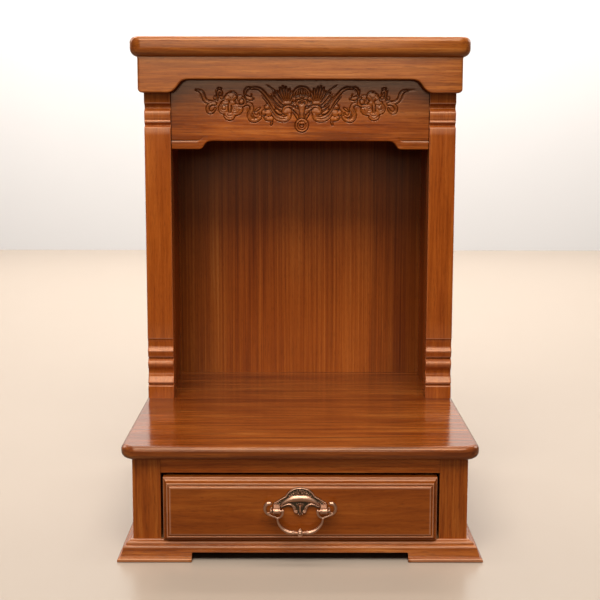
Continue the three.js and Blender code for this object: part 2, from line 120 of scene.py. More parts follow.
def catmull(points, per=6, closed=False):
    P = [np.asarray(p, dtype=float) for p in points]
    if len(P) < 3 and not closed:
        return [tuple(P[0] * (1 - t) + P[1] * t) for t in np.linspace(0, 1, per + 1)]
    out = []
    n = len(P)
    segs = n if closed else n - 1
    for i in range(segs):
        p1, p2 = P[i % n], P[(i + 1) % n]
        p0 = P[(i - 1) % n] if (closed or i > 0) else 2 * p1 - p2
        p3 = P[(i + 2) % n] if (closed or i + 2 < n) else 2 * p2 - p1
        t0, t1 = 0.0, max(np.linalg.norm(p1 - p0), 1e-9) ** 0.5
        t2 = t1 + max(np.linalg.norm(p2 - p1), 1e-9) ** 0.5
        t3 = t2 + max(np.linalg.norm(p3 - p2), 1e-9) ** 0.5
        for k in range(per):
            t = t1 + (t2 - t1) * k / per
            a1 = (t1 - t) / (t1 - t0) * p0 + (t - t0) / (t1 - t0) * p1
            a2 = (t2 - t) / (t2 - t1) * p1 + (t - t1) / (t2 - t1) * p2
            a3 = (t3 - t) / (t3 - t2) * p2 + (t - t2) / (t3 - t2) * p3
            b1 = (t2 - t) / (t2 - t0) * a1 + (t - t0) / (t2 - t0) * a2
            b2 = (t3 - t) / (t3 - t1) * a2 + (t - t1) / (t3 - t1) * a3
            out.append(tuple((t2 - t) / (t2 - t1) * b1 + (t - t1) / (t2 - t1) * b2))
    if not closed:
        out.append(tuple(P[-1]))
    return out


def soften(points, r=0.35, steps=3):
    """A polyline in a plane with each bend rounded over at most r on either side."""
    P = [np.asarray(p, dtype=float) for p in points]
    out = [tuple(P[0])]
    for i in range(1, len(P) - 1):
        a, b, c = P[i - 1], P[i], P[i + 1]
        la, lc = np.linalg.norm(a - b), np.linalg.norm(c - b)
        if la < 1e-6 or lc < 1e-6:
            continue
        ua, uc = (a - b) / la, (c - b) / lc
        ra = min(r, la * 0.42)
        rc = min(r, lc * 0.42)
        p, q = b + ua * ra, b + uc * rc
        for k in range(steps + 1):
            t = k / steps
            out.append(tuple((1 - t) ** 2 * p + 2 * t * (1 - t) * b + t * t * q))
    out.append(tuple(P[-1]))
    return out


# ------------------------------------------------------------------ materials
class Nodes:
    def __init__(self, name):
        self.mat = bpy.data.materials.new(name)
        self.mat.use_nodes = True
        self.nt = self.mat.node_tree
        self.nt.nodes.clear()

    def add(self, kind, props=None, **inputs):
        nd = self.nt.nodes.new(kind)
        for k, v in (props or {}).items():
            setattr(nd, k, v)
        for k, v in inputs.items():
            key = int(k[1:]) if k[0] == "i" and k[1:].isdigit() else k.replace("_", " ")
            sock = nd.inputs[key]
            if isinstance(v, bpy.types.NodeSocket):
                self.nt.links.new(v, sock)
            else:
                sock.default_value = v
        return nd

    def math(self, op, a, b=0.0, c=None, clamp=False):
        kw = {"i0": a, "i1": b}
        if c is not None:
            kw["i2"] = c
        return self.add("ShaderNodeMath", {"operation": op, "use_clamp": clamp}, **kw).outputs[0]

    def vmath(self, op, a, b=(0, 0, 0)):
        return self.add("ShaderNodeVectorMath", {"operation": op}, i0=a, i1=b).outputs[0]

    def ramp(self, fac, stops, mode="LINEAR"):
        nd = self.add("ShaderNodeValToRGB", Fac=fac)
        cr = nd.color_ramp
        cr.interpolation = mode
        while len(cr.elements) < len(stops):
            cr.elements.new(0.5)
        for e, (pos, col) in zip(cr.elements, stops):
            e.position = pos
            e.color = (*col, 1.0) if len(col) == 3 else col
        return nd.outputs[0]

    def mix(self, fac, a, b, mode="MIX"):
        nd = self.nt.nodes.new("ShaderNodeMix")
        nd.data_type = "RGBA"
        nd.blend_type = mode
        for key, v in ((0, fac), (6, a), (7, b)):
            if isinstance(v, bpy.types.NodeSocket):
                self.nt.links.new(v, nd.inputs[key])
            else:
                nd.inputs[key].default_value = v if not isinstance(v, tuple) or len(v) == 4 else (*v, 1.0)
        return nd.outputs[2]

    def noise(self, vec, scale=1.0, detail=3.0, rough=0.55, distort=0.0):
        nd = self.add("ShaderNodeTexNoise", Vector=vec, Scale=scale, Detail=detail, Roughness=rough, Distortion=distort)
        return nd.outputs[0], nd.outputs[1]

    def out(self, shader):
        o = self.nt.nodes.new("ShaderNodeOutputMaterial")
        self.nt.links.new(shader, o.inputs[0])
        return self.mat


def lin(r, g, b):
    f = lambda c: c / 255 / 12.92 if c <= 10.3 else ((c / 255 + 0.055) / 1.055) ** 2.4
    return (f(r), f(g), f(b))


def grain_vector(N, grain, offset):
    """Object position with the grain's direction first, shifted so that each board differs."""
    tc = N.nt.nodes.new("ShaderNodeTexCoord")
    sep = N.add("ShaderNodeSeparateXYZ", i0=tc.outputs["Object"])
    x, y, z = sep.outputs
    order = {"X": (x, y, z), "Y": (y, x, z), "Z": (z, x, y)}[grain]
    vec = N.add("ShaderNodeCombineXYZ", i0=order[0], i1=order[1], i2=order[2]).outputs[0]
    return N.vmath("ADD", vec, offset)


def arris(points, flip=False, reach=0.55, full=0.42):
    """How strongly a profile turns outward at each of its points, 0 to 1: where an edge is painted lighter, as rubbed
    wear and as a painted highlight.
    """
    P = np.asarray(points, float)
    n = len(P)
    seg = P[1:] - P[:-1]
    L = np.maximum(np.hypot(seg[:, 0], seg[:, 1]), 1e-9)
    T = seg / L[:, None]
    turn = np.zeros(n)
    c = T[:-1, 0] * T[1:, 1] - T[:-1, 1] * T[1:, 0]
    turn[1:-1] = np.arcsin(np.clip(c, -1, 1)) * (-1 if flip else 1)
    run = np.concatenate([[0], np.cumsum(L)])
    out = np.zeros(n)
    for i in range(n):
        w = np.exp(-0.5 * ((run - run[i]) / reach) ** 2) / (reach * 2.507)
        out[i] = float((w * turn).sum())
    return np.clip(out / full, 0, 1)


def wood(name, grain="X", offset=(0, 0, 0), tone=1.0, fine=1.0, stretch=1.0, contrast=1.0, warm=0.0, veins=0.5,
         wander=1.0, gloss=0.6, rough=0.17, carved=False, figure=0.05, tint=(1.0, 0.66, 0.44), flecks=0.4, blotch=0.12,
         rub_and_highlight=0.38, shade=()):
    """Lacquered red-brown wood with straight grain. fine scales the lines across, stretch along.
    shade lists painted shade, colour darkened along an axis in place of shadow: (axis, from, to, least tone)."""
    N = Nodes(name)
    p = grain_vector(N, grain, offset)
    # slow drift, so that the grain lines wander a little
    drift = N.noise(N.vmath("MULTIPLY", p, (1.6, 5.0, 5.0)), 1.0, 2.0)[1]
    drift = N.vmath("SUBTRACT", drift, (0.5, 0.5, 0.5))
    q = N.vmath("ADD", p, N.vmath("MULTIPLY", drift, (0.0, 0.016 * wander, 0.016 * wander)))
    ripple = N.noise(N.vmath("MULTIPLY", p, (11.0, 42.0, 42.0)), 1.0, 2.0)[1]
    ripple = N.vmath("SUBTRACT", ripple, (0.5, 0.5, 0.5))
    q = N.vmath("ADD", q, N.vmath("MULTIPLY", ripple, (0.0, 0.0024 * wander, 0.0024 * wander)))
    f, g = fine, 1.0 / stretch
    a = N.noise(N.vmath("MULTIPLY", q, (1.3 * g, 34.0 * f, 34.0 * f)), 1.0, 2.0, 0.5)[0]
    b = N.noise(N.vmath("MULTIPLY", q, (4.2 * g, 128.0 * f, 128.0 * f)), 1.0, 2.0, 0.6)[0]
    c = N.noise(N.vmath("MULTIPLY", q, (13.0 * g, 400.0 * f, 400.0 * f)), 1.0, 2.0, 0.6)[0]
    patch = N.noise(N.vmath("MULTIPLY", p, (5.0, 15.0, 15.0)), 1.0, 2.0, 0.5)[0]
    rest = 1.0 - blotch
    v = N.math("MULTIPLY", a, 0.28 * rest)
    v = N.math("MULTIPLY_ADD", b, 0.36 * rest, v)
    v = N.math("MULTIPLY_ADD", c, 0.36 * rest, v)
    v = N.math("MULTIPLY_ADD", patch, blotch, v)
    v = N.math("SUBTRACT", v, 0.5)
    v = N.math("MULTIPLY_ADD", v, 3.3 * contrast, 0.5, clamp=True)
    s = lambda col: (col[0] * tone, col[1] * tone * (1 + warm), col[2] * tone * (1 + 2 * warm))
    stops = [
        (0.05, s((0.150, 0.0245, 0.0026))),
        (0.30, s((0.250, 0.0470, 0.0046))),
        (0.50, s((0.335, 0.0720, 0.0074))),
        (0.70, s((0.415, 0.1020, 0.0125))),
        (0.95, s((0.520, 0.1560, 0.0270))),
    ]
    colour = N.ramp(v, stops)
    # dark lines, long and thin, stronger in some places than in others
    d = N.noise(N.vmath("MULTIPLY", q, (4.2 * g, 105.0 * f, 105.0 * f)), 1.0, 3.0, 0.62)[0]
    where = N.noise(N.vmath("MULTIPLY", p, (3.4, 11.0, 11.0)), 1.0, 2.0, 0.5)[0]
    where = N.math("MULTIPLY_ADD", where, 3.0, -0.95, clamp=True)
    line = N.ramp(d, [(0.545, (0, 0, 0)), (0.62, (1, 1, 1))])
    colour = N.mix(N.math("MULTIPLY", N.math("MULTIPLY", line, where), veins), colour, s((0.095, 0.0150, 0.0022)), "MIX")
    # flecks and pores: short dark marks along the grain
    fl = N.noise(N.vmath("MULTIPLY", q, (36.0, 560.0, 560.0)), 1.0, 2.0, 0.6)[0]
    fleck = N.ramp(fl, [(0.585, (0, 0, 0)), (0.665, (1, 1, 1))])
    colour = N.mix(N.math("MULTIPLY", fleck, flecks), colour, s((0.100, 0.0165, 0.0024)), "MIX")
    pore = N.noise(N.vmath("MULTIPLY", q, (90.0, 1300.0, 1300.0)), 1.0, 1.0, 0.5)[0]
    tick = N.ramp(pore, [(0.58, (0, 0, 0)), (0.68, (1, 1, 1))])
    colour = N.mix(N.math("MULTIPLY", tick, 0.30), colour, s((0.090, 0.015, 0.0022)), "MIX")
    # figure across the grain, as light plays in the fibres
    fig = N.noise(N.vmath("MULTIPLY", p, (46.0, 14.0, 14.0)), 1.0, 2.0, 0.5)[0]
    gain = N.math("MULTIPLY_ADD", fig, 2.0 * figure, 1.0 - figure)
    # painted shade: the colour darkens towards some edges in place of shadow
    if shade:
        tc = N.nt.nodes.new("ShaderNodeTexCoord")
        sep = N.add("ShaderNodeSeparateXYZ", i0=tc.outputs["Object"])
        for axis, start, end, least in shade:
            pos = sep.outputs["XYZ".index(axis[-1])]
            if axis[0] == "|":
                pos = N.math("ABSOLUTE", pos)
            mr = N.add("ShaderNodeMapRange", {"interpolation_type": "SMOOTHSTEP"}, i0=pos, i1=start, i2=end, i3=1.0, i4=least)
            gain = N.math("MULTIPLY", gain, mr.outputs[0])
    grey = N.add("ShaderNodeCombineColor", i0=gain, i1=gain, i2=gain).outputs[0]
    colour = N.mix(1.0, colour, grey, "MULTIPLY")
    # painted highlight and wear: edges marked in the edge attribute are painted lighter, as rubbed lacquer and as
    # highlights on the arrises
    if rub_and_highlight:
        edge = N.add("ShaderNodeAttribute", {"attribute_name": "edge"}).outputs["Fac"]
        wear_and_highlight = N.math("MULTIPLY_ADD", patch, 0.8, 0.6)
        colour = N.mix(N.math("MULTIPLY", N.math("MULTIPLY", edge, wear_and_highlight), rub_and_highlight, clamp=True), colour, (0.72, 0.36, 0.20), "MIX")
    # painted shade and highlight: the carving's grooves (cavity) are painted near black as shade, its raised tops
    # (crest) painted lighter as a highlight
    if carved:
        cav = N.add("ShaderNodeAttribute", {"attribute_name": "cavity"}).outputs["Fac"]
        colour = N.mix(N.math("MULTIPLY", cav, 1.0, clamp=True), colour, (0.030, 0.0062, 0.0016), "MIX")
        crest = N.add("ShaderNodeAttribute", {"attribute_name": "crest"}).outputs["Fac"]
        colour = N.mix(N.math("MULTIPLY", crest, 0.34, clamp=True), colour, (0.42, 0.150, 0.050), "MIX")
    r = N.math("MULTIPLY_ADD", b, 0.10, rough - 0.05)
    height = N.math("MULTIPLY_ADD", tick, -0.5, N.math("MULTIPLY", c, 0.5))
    bump = N.add("ShaderNodeBump", Strength=0.10, Distance=0.0003, Height=height).outputs[0]
    sh = N.add("ShaderNodeBsdfPrincipled", Base_Color=colour, Roughness=r, Normal=bump)
    sh.inputs["Specular IOR Level"].default_value = gloss
    sh.inputs["Specular Tint"].default_value = (*tint, 1.0)
    sh.inputs["IOR"].default_value = 1.5
    return N.out(sh.outputs[0])


def plain_wood(name, grain="Y", offset=(0, 0, 0), light=(0.47, 0.27, 0.12), dark=(0.26, 0.125, 0.048)):
    N = Nodes(name)
    p = grain_vector(N, grain, offset)
    a = N.noise(N.vmath("MULTIPLY", p, (3.0, 60.0, 60.0)), 1.0, 4.0, 0.6)[0]
    b = N.noise(N.vmath("MULTIPLY", p, (14.0, 380.0, 380.0)), 1.0, 3.0, 0.6)[0]
    v = N.math("MULTIPLY_ADD", a, 0.65, N.math("MULTIPLY", b, 0.35))
    colour = N.ramp(v, [(0.38, dark), (0.62, light)])
    bump = N.add("ShaderNodeBump", Strength=0.25, Distance=0.0004, Height=b).outputs[0]
    sh = N.add("ShaderNodeBsdfPrincipled", Base_Color=colour, Roughness=N.math("MULTIPLY_ADD", b, 0.2, 0.5), Normal=bump)
    sh.inputs["Specular IOR Level"].default_value = 0.35
    return N.out(sh.outputs[0])


def bronze(name):
    N = Nodes(name)
    tc = N.nt.nodes.new("ShaderNodeTexCoord")
    cav = N.add("ShaderNodeAttribute", {"attribute_name": "cavity"}).outputs["Fac"]
    n1 = N.noise(tc.outputs["Object"], 260.0, 4.0, 0.6)[0]
    n2 = N.noise(tc.outputs["Object"], 1400.0, 3.0, 0.6)[0]
    f = N.math("ADD", cav, N.math("MULTIPLY", N.math("SUBTRACT", n1, 0.5), 0.55))
    f = N.math("ADD", f, N.math("MULTIPLY", N.math("SUBTRACT", n2, 0.5), 0.30), clamp=True)
    colour = N.ramp(f, [(0.06, (0.66, 0.375, 0.24)), (0.30, (0.50, 0.27, 0.165)), (0.58, (0.17, 0.105, 0.055)), (0.90, (0.040, 0.031, 0.016))])
    rough = N.math("MULTIPLY_ADD", f, 0.25, 0.38)
    metal = N.math("MULTIPLY_ADD", f, -0.35, 1.0, clamp=True)
    bump = N.add("ShaderNodeBump", Strength=0.12, Distance=0.0002, Height=n2).outputs[0]
    sh = N.add("ShaderNodeBsdfPrincipled", Base_Color=colour, Roughness=rough, Metallic=metal, Normal=bump)
    return N.out(sh.outputs[0])


# ------------------------------------------------------------------ boards with rounded plan corners
def plan_ring(x0, x1, d0, d1, corner_r, inset, z, per=10):
    r = max(corner_r - inset, 0.4)
    x0, x1, d0, d1 = x0 + inset, x1 - inset, d0 + inset, d1 - inset
    ring = []
    for cx, cd, a0 in ((x1 - r, d0 + r, -90), (x1 - r, d1 - r, 0), (x0 + r, d1 - r, 90), (x0 + r, d0 + r, 180)):
        for k in range(per + 1):
            a = math.radians(a0 + 90 * k / per)
            ring.append((cx + r * math.cos(a), cd + r * math.sin(a), z))
    return ring


def nosed_board(node, mat, body, corner_r, top_r, low_r, top_flat=0.5):
    x0, x1, d0, d1, z0, z1 = corner(node)
    steps = 12
    prof = [(low_r + 2.0, z0), (low_r + 0.3, z0)]
    for k in range(steps + 1):
        a = math.radians(90 * k / steps)
        prof.append((low_r * (1 - math.sin(a)), z0 + low_r * (1 - math.cos(a))))
    if z1 - top_r > z0 + low_r + 0.6:
        prof.append((0, (z0 + low_r + z1 - top_r) / 2))
    for k in range(steps + 1):
        a = math.radians(90 * k / steps)
        prof.append((top_r * (1 - math.cos(a)), z1 - top_r * (1 - math.sin(a))))
    prof += [(top_r + 0.3, z1), (top_r + 2.0, z1)]
    rings = [plan_ring(x0, x1, d0, d1, corner_r, i, z) for i, z in prof]
    V, F = rings_to_mesh(rings)
    # painted highlight and wear: the rounded edges get the lighter edge colour
    wear_and_highlight = arris([(-i, z) for i, z in prof], reach=1.6, full=1.1)
    edge = [float(e) for e, r in zip(wear_and_highlight, rings) for _ in r]
    return make(node + "_board", V, F, mat, body, (node,), 50, {"edge": edge})


# ------------------------------------------------------------------ posts
FOOT = [(157.5, -1), (176.2, -1), (176.9, -0.4), (177.4, 0.8), (178.1, 2.7), (180.3, 2.7), (180.9, -0.5), (181.6, -1),
        (183.2, -1), (184.6, -0.2), (186, 0.8), (188.2, 2.2), (191.2, 4.0), (194.6, 5.4), (197.2, 5.9), (199.8, 5.5),
        (202.2, 4.4), (205, 2.3), (208, 0.4), (210.6, -0.5), (212.4, -0.6), (214.4, 0.3), (216.6, 2.1), (218.3, 4.0),
        (219.2, 5.6), (219.7, 6.6), (221.5, 6.6), (222.0, 2.6), (223.0, 2.0), (226, 1.2), (229.5, 0.2), (232, -0.4),
        (233.2, 0.2), (235.4, 1.9), (237.6, 3.1), (239.6, 3.5), (244.5, 2.9), (249.4, 2.0), (250.6, 2.0), (251.3, 0.5),
        (252, 0.05), (253.4, 0)]
HEAD = [(575.4, 0), (577.0, 0.25), (578.0, 1.2), (578.6, 2.9), (580.2, 4.9), (582.2, 4.6), (584.0, 2.4), (585.0, 0.9),
        (586.4, 0.6), (587.6, 1.2), (588.6, 1.6), (591.4, 0.5), (595, 0.1), (599.6, 0.1), (601.2, 0.7), (602.6, 2.2),
        (604.2, 4.6), (606.6, 6.3), (609.4, 6.0), (611.4, 4.4), (612.8, 2.2), (613.8, 0.5), (615.4, 0)]


def moulded_post(node, mat, body):
    x0, x1, dmin, d1, z0, z1 = corner(node)
    face = dmin + 1.0            # the foot block stands 1 mm proud of the shaft's face
    prof = soften(FOOT, 0.5, 3)
    zs = [p for p in prof]
    z = 253.4
    while z < 575.4 - 30:
        z += 26.0
        zs.append((min(z, 572.0), 0.0))
    zs += soften(HEAD, 0.45, 3) + [(z1, 0.0)]
    zs[0] = (z0, -1.0)
    r, per = 1.5, 5
    rings, edge = [], []
    # painted highlight and wear: the moulding's outward turns and the vertical arrises get the lighter edge colour
    wear_and_highlight = arris([(-b, z) for z, b in zs], reach=0.6, full=0.45)
    wear_and_highlight[:2] = 0
    wear_and_highlight[-2:] = 0
    for (zz, back), w in zip(zs, wear_and_highlight):
        f = face + back
        ring = [(x0, d1, zz), (x0, 283.0, zz), (x0, f + r + 0.4, zz)]
        for k in range(per + 1):
            a = math.radians(180 + 90 * k / per)
            ring.append((x0 + r + r * math.cos(a), f + r + r * math.sin(a), zz))
        ring.append((x0 + r + 0.4, f, zz))
        ring.append(((x0 + x1) / 2, f, zz))
        ring.append((x1 - r - 0.4, f, zz))
        for k in range(per + 1):
            a = math.radians(270 + 90 * k / per)
            ring.append((x1 - r + r * math.cos(a), f + r + r * math.sin(a), zz))
        ring += [(x1, f + r + 0.4, zz), (x1, 283.0, zz), (x1, d1, zz)]
        rings.append(ring)
        n = len(ring)
        for j in range(n):
            arc = j - 3 if j < n / 2 else n - 1 - j - 3
            side = max(0.0, 0.42 - 0.18 * abs(arc - per / 2)) if 0 <= arc <= per else 0.0
            fronts = 0.0 if j in (0, 1, n - 2, n - 1) else 1.0
            edge.append(max(float(w) * fronts, side))
    V, F = rings_to_mesh(rings)
    return make(node + "_moulded", V, F, mat, body, (node,), 42, {"edge": edge})


# ------------------------------------------------------------------ boards cut to an outline (x, z), edges rounded
def cyma_points(xa, za, xb, zb, n=22, pull=0.5):
    out = []
    for i in range(n + 1):
        t = i / n
        s = t * t * (3 - 2 * t)
        out.append((xa + (xb - xa) * t, za + (zb - za) * (pull * s + (1 - pull) * (0.5 - 0.5 * math.cos(math.pi * t)))))
    return out


def outline_normals(P):
    n = len(P)
    out = []
    for i in range(n):
        a, b, c = np.array(P[i - 1]), np.array(P[i]), np.array(P[(i + 1) % n])
        t = (b - a) / max(np.linalg.norm(b - a), 1e-9) + (c - b) / max(np.linalg.norm(c - b), 1e-9)
        t /= max(np.linalg.norm(t), 1e-9)
        out.append(np.array([-t[1], t[0]]))
    return out


def cut_board(name, outline, radii, d0, d1, mat, body, replaces, smooth=50):
    """outline runs anticlockwise seen from the front; radii round the front edge point by point."""
    N = outline_normals(outline)
    rings = [[(x, d1, z) for x, z in outline]]
    steps = 8
    for k in range(steps + 1):
        a = math.radians(90 * k / steps)
        ring = []
        for (x, z), nrm, r in zip(outline, N, radii):
            i = r * (1 - math.cos(a))
            ring.append((x + nrm[0] * i, d0 + r * (1 - math.sin(a)), z + nrm[1] * i))
        rings.append(ring)
    rings.append([(x + n[0] * (r + 0.35), d0, z + n[1] * (r + 0.35)) for (x, z), n, r in zip(outline, N, radii)])
    V, F = rings_to_mesh(rings)
    # painted highlight and wear: part of the rounded front edge gets the lighter edge colour
    edge = [0.0] * len(outline)
    for k in range(steps + 1):
        edge += [0.20 * math.exp(-((k - steps * 0.62) / 1.7) ** 2)] * len(outline)
    edge += [0.0] * len(outline)
    return make(name, V, F, mat, body, replaces, smooth, {"edge": edge})


def frieze(mat):
    x0, x1, d0, d1, z0, z1 = corner("crown_front")
    h, zc = x1, z0 + 20.0
    rc = 7.0
    half = [(h - 0.01, z1), (h, z1 - 3), (h, z0 + rc + 16), (h, z0 + rc + 1)]
    half += [(h - rc + rc * math.cos(math.radians(-a)), z0 + rc + rc * math.sin(math.radians(-a))) for a in range(0, 91, 9)]
    half += [(x, z0) for x in (225, 212)]
    half += catmull([(203, z0), (198.6, z0 + 0.15), (193.6, z0 + 1.6), (188.6, z0 + 5.2), (185.0, z0 + 9.2), (182.2, z0 + 13.0),
                     (178.4, z0 + 16.9), (173.8, z0 + 19.1), (168.6, z0 + 19.9), (163.5, zc)], 4)
    half += [(x, zc) for x in (160, 140, 110, 75, 38)]
    right = half
    left = [(-x, z) for x, z in half[::-1]]
    pts = left[:-1] + [(-h + 0.01, z1)]
    # anticlockwise from the front: bottom runs left to right, so start at the left top, go down, along, up
    loop = [(-x, z) for x, z in half] + [(0, zc)] + right[::-1]
    radii = []
    for x, z in loop:
        side = abs(abs(x) - h) < 0.6 and z > z0 + 5
        radii.append(3.6 if side else (0.25 if z > z1 - 0.5 else 2.1))
    # blend the radii round the lower outer corner
    R = radii[:]
    for _ in range(4):
        R = [R[0]] + [(R[i - 1] + R[i] * 2 + R[i + 1]) / 4 for i in range(1, len(R) - 1)] + [R[-1]]
    R[0] = R[-1] = 0.3
    return cut_board("crown_front_board", loop, R, d0, d1, mat, "cabinet", ("crown_front",), 50)


# ------------------------------------------------------------------ plinth, mitred at the corners
PLINTH = [(0, 0), (18.6, 0), (19.5, 0.8), (19.5, 3.3), (19.2, 4.2), (18.3, 5.0), (17.0, 5.5), (15.9, 5.9), (15.5, 6.6),
          (14.9, 8.6), (12.7, 16.0), (12.3, 17.9), (11.9, 18.9), (10.9, 19.7), (9.5, 20.0), (9.0, 20.3), (8.7, 21.2), (8.4, 22.8),
          (7.7, 24.1), (6.4, 24.9), (4.9, 25.2), (4.1, 25.35), (3.7, 25.8), (3.1, 26.5), (0, 26.5)]


def sweep(name, prof, stations, mat, body, replaces, smooth=40, cutter=None):
    """prof is (projection, height); each station gives (point at projection 0, direction of projection incl. mitre)."""
    rings = [[(p[0] + v[0] * u, p[1] + v[1] * u, z) for u, z in prof] for p, v in stations]
    V, F = rings_to_mesh(rings)
    # painted highlight and wear: the moulding's outward turns get the lighter edge colour
    wear_and_highlight = arris(prof, reach=0.65, full=0.40)
    ob = make(name, V, F, mat, body, replaces, smooth, {"edge": [float(e) for _ in rings for e in wear_and_highlight]})
    if cutter is not None:
        V2, F2 = cutter
        P = np.array(V2, float)
        P[:, 1] += Y0
        me = bpy.data.meshes.new("cutter")
        c = P - P.mean(axis=0)
        if signed_volume(c, F2) < 0:
            F2 = [f[::-1] for f in F2]
        me.from_pydata((P / 1000).tolist(), [], F2)
        co = bpy.data.objects.new("cutter", me)
        SCENE.collection.objects.link(co)
        md = ob.modifiers.new("cut", "BOOLEAN")
        md.operation, md.solver, md.object = "DIFFERENCE", "EXACT", co
        bpy.context.view_layer.update()
        dg = bpy.context.evaluated_depsgraph_get()
        new = bpy.data.meshes.new_from_object(ob.evaluated_get(dg))
        ob.modifiers.clear()
        ob.data = new
        finish_mesh(ob, mat, smooth)
        bpy.data.objects.remove(co)
    return ob


def plinth(mat_front, mat_left, mat_right):
    bx0, bx1 = -225.0, 225.0
    df, db = 15.0, 470.0
    prof = soften(PLINTH, 0.35, 2)
    xs = [bx0, -150, -75, 0, 75, 150, bx1]
    st = []
    for i, x in enumerate(xs):
        v = (-1, -1) if i == 0 else ((1, -1) if i == len(xs) - 1 else (0, -1))
        st.append(((x, df), v))
    # cutter: the foot cut, its upper corners turned with a small radius
    h, top, r = 145.0, 12.0, 1.6
    out = [(-h, -6), (h, -6), (h, top - r)]
    out += [(h - r + r * math.cos(math.radians(a)), top - r + r * math.sin(math.radians(a))) for a in (30, 60, 90)]
    out += [(-h + r + r * math.cos(math.radians(a)), top - r + r * math.sin(math.radians(a))) for a in (90, 120, 150, 180)]
    V = [(x, df - 32, z) for x, z in out] + [(x, df + 8, z) for x, z in out]
    n = len(out)
    F = [tuple(range(n)), tuple(range(n, 2 * n))[::-1]] + [(i, i + n, (i + 1) % n + n, (i + 1) % n) for i in range(n)]
    front = sweep("plinth_front_moulding", prof, st, mat_front, "cabinet", ("plinth_front",), cutter=(V, F))
    for s, mat, node in ((-1, mat_left, "plinth_left"), (1, mat_right, "plinth_right")):
        st = [((s * 225.0, df), (s, -1)), ((s * 225.0, 130), (s, 0)), ((s * 225.0, 300), (s, 0)), ((s * 225.0, db), (s, 0))]
        sweep(node + "_moulding", prof, st, mat, "cabinet", (node,))
    return front


# ------------------------------------------------------------------ drawer front: a raised panel with mitred mouldings
PANEL = [(0.0, 8.6), (0.5, 8.1), (1.3, 7.8), (2.4, 7.0), (3.5, 5.8), (4.3, 4.5), (4.75, 3.5), (4.95, 2.6), (5.05, 2.0),
         (5.25, 1.45), (5.8, 1.15), (6.5, 1.15), (6.95, 1.45), (7.2, 1.85), (7.7, 1.95), (8.2, 1.65), (8.7, 0.95), (9.2, 0.3), (9.9, 0.0)]


def drawer_front(mat):
    x0, x1, d0, d1, z0, z1 = corner("drawer_front")
    prof = soften(PANEL, 0.22, 2)
    prof = [(0.0, d1 - d0)] + [(0.0, 11.0)] + prof + [(11.5, 0.0)]

    def ring(i, dep):
        top = i * 1.2
        return [(x0 + i, d0 + dep, z0 + i), (x1 - i, d0 + dep, z0 + i), (x1 - i, d0 + dep, z1 - top), (x0 + i, d0 + dep, z1 - top)]
    rings = [ring(i, dep) for i, dep in prof]
    V, F = rings_to_mesh(rings)
    # painted highlight and wear: the mouldings' outward turns get the lighter edge colour
    wear_and_highlight = arris([(i, -dep) for i, dep in prof], flip=True, reach=0.55, full=0.45)
    wear_and_highlight[:2] = 0
    ob = make("drawer_front_panel", V, F, mat, "drawer", ("drawer_front",), 55, {"edge": [float(e) for e in wear_and_highlight for _ in range(4)]})
    # the mitre lines stay crisp
    me = ob.data
    at = me.attributes.get("sharp_edge") or me.attributes.new("sharp_edge", "BOOLEAN", "EDGE")
    vals = [bool(x) for x in (a.value for a in at.data)]
    for e in me.edges:
        a, b = e.vertices
        if a % 4 == b % 4 and abs(a - b) == 4:
            vals[e.index] = True
    at.data.foreach_set("value", vals)
    return ob


# ------------------------------------------------------------------ squared boards that keep their frame solid
def dress(node, mat, edge=0.8, segments=3):
    ob = cad(node)
    ob.data.materials.clear() if False else None
    if not ob.material_slots:
        ob.data.materials.append(mat)
    for s in ob.material_slots:
        s.material = mat
    if edge:
        md = ob.modifiers.new("edge", "BEVEL")
        md.width = edge / 1000.0
        md.segments = segments
        md.limit_method = "ANGLE"
        md.angle_limit = math.radians(40)
        md.harden_normals = True
    return ob


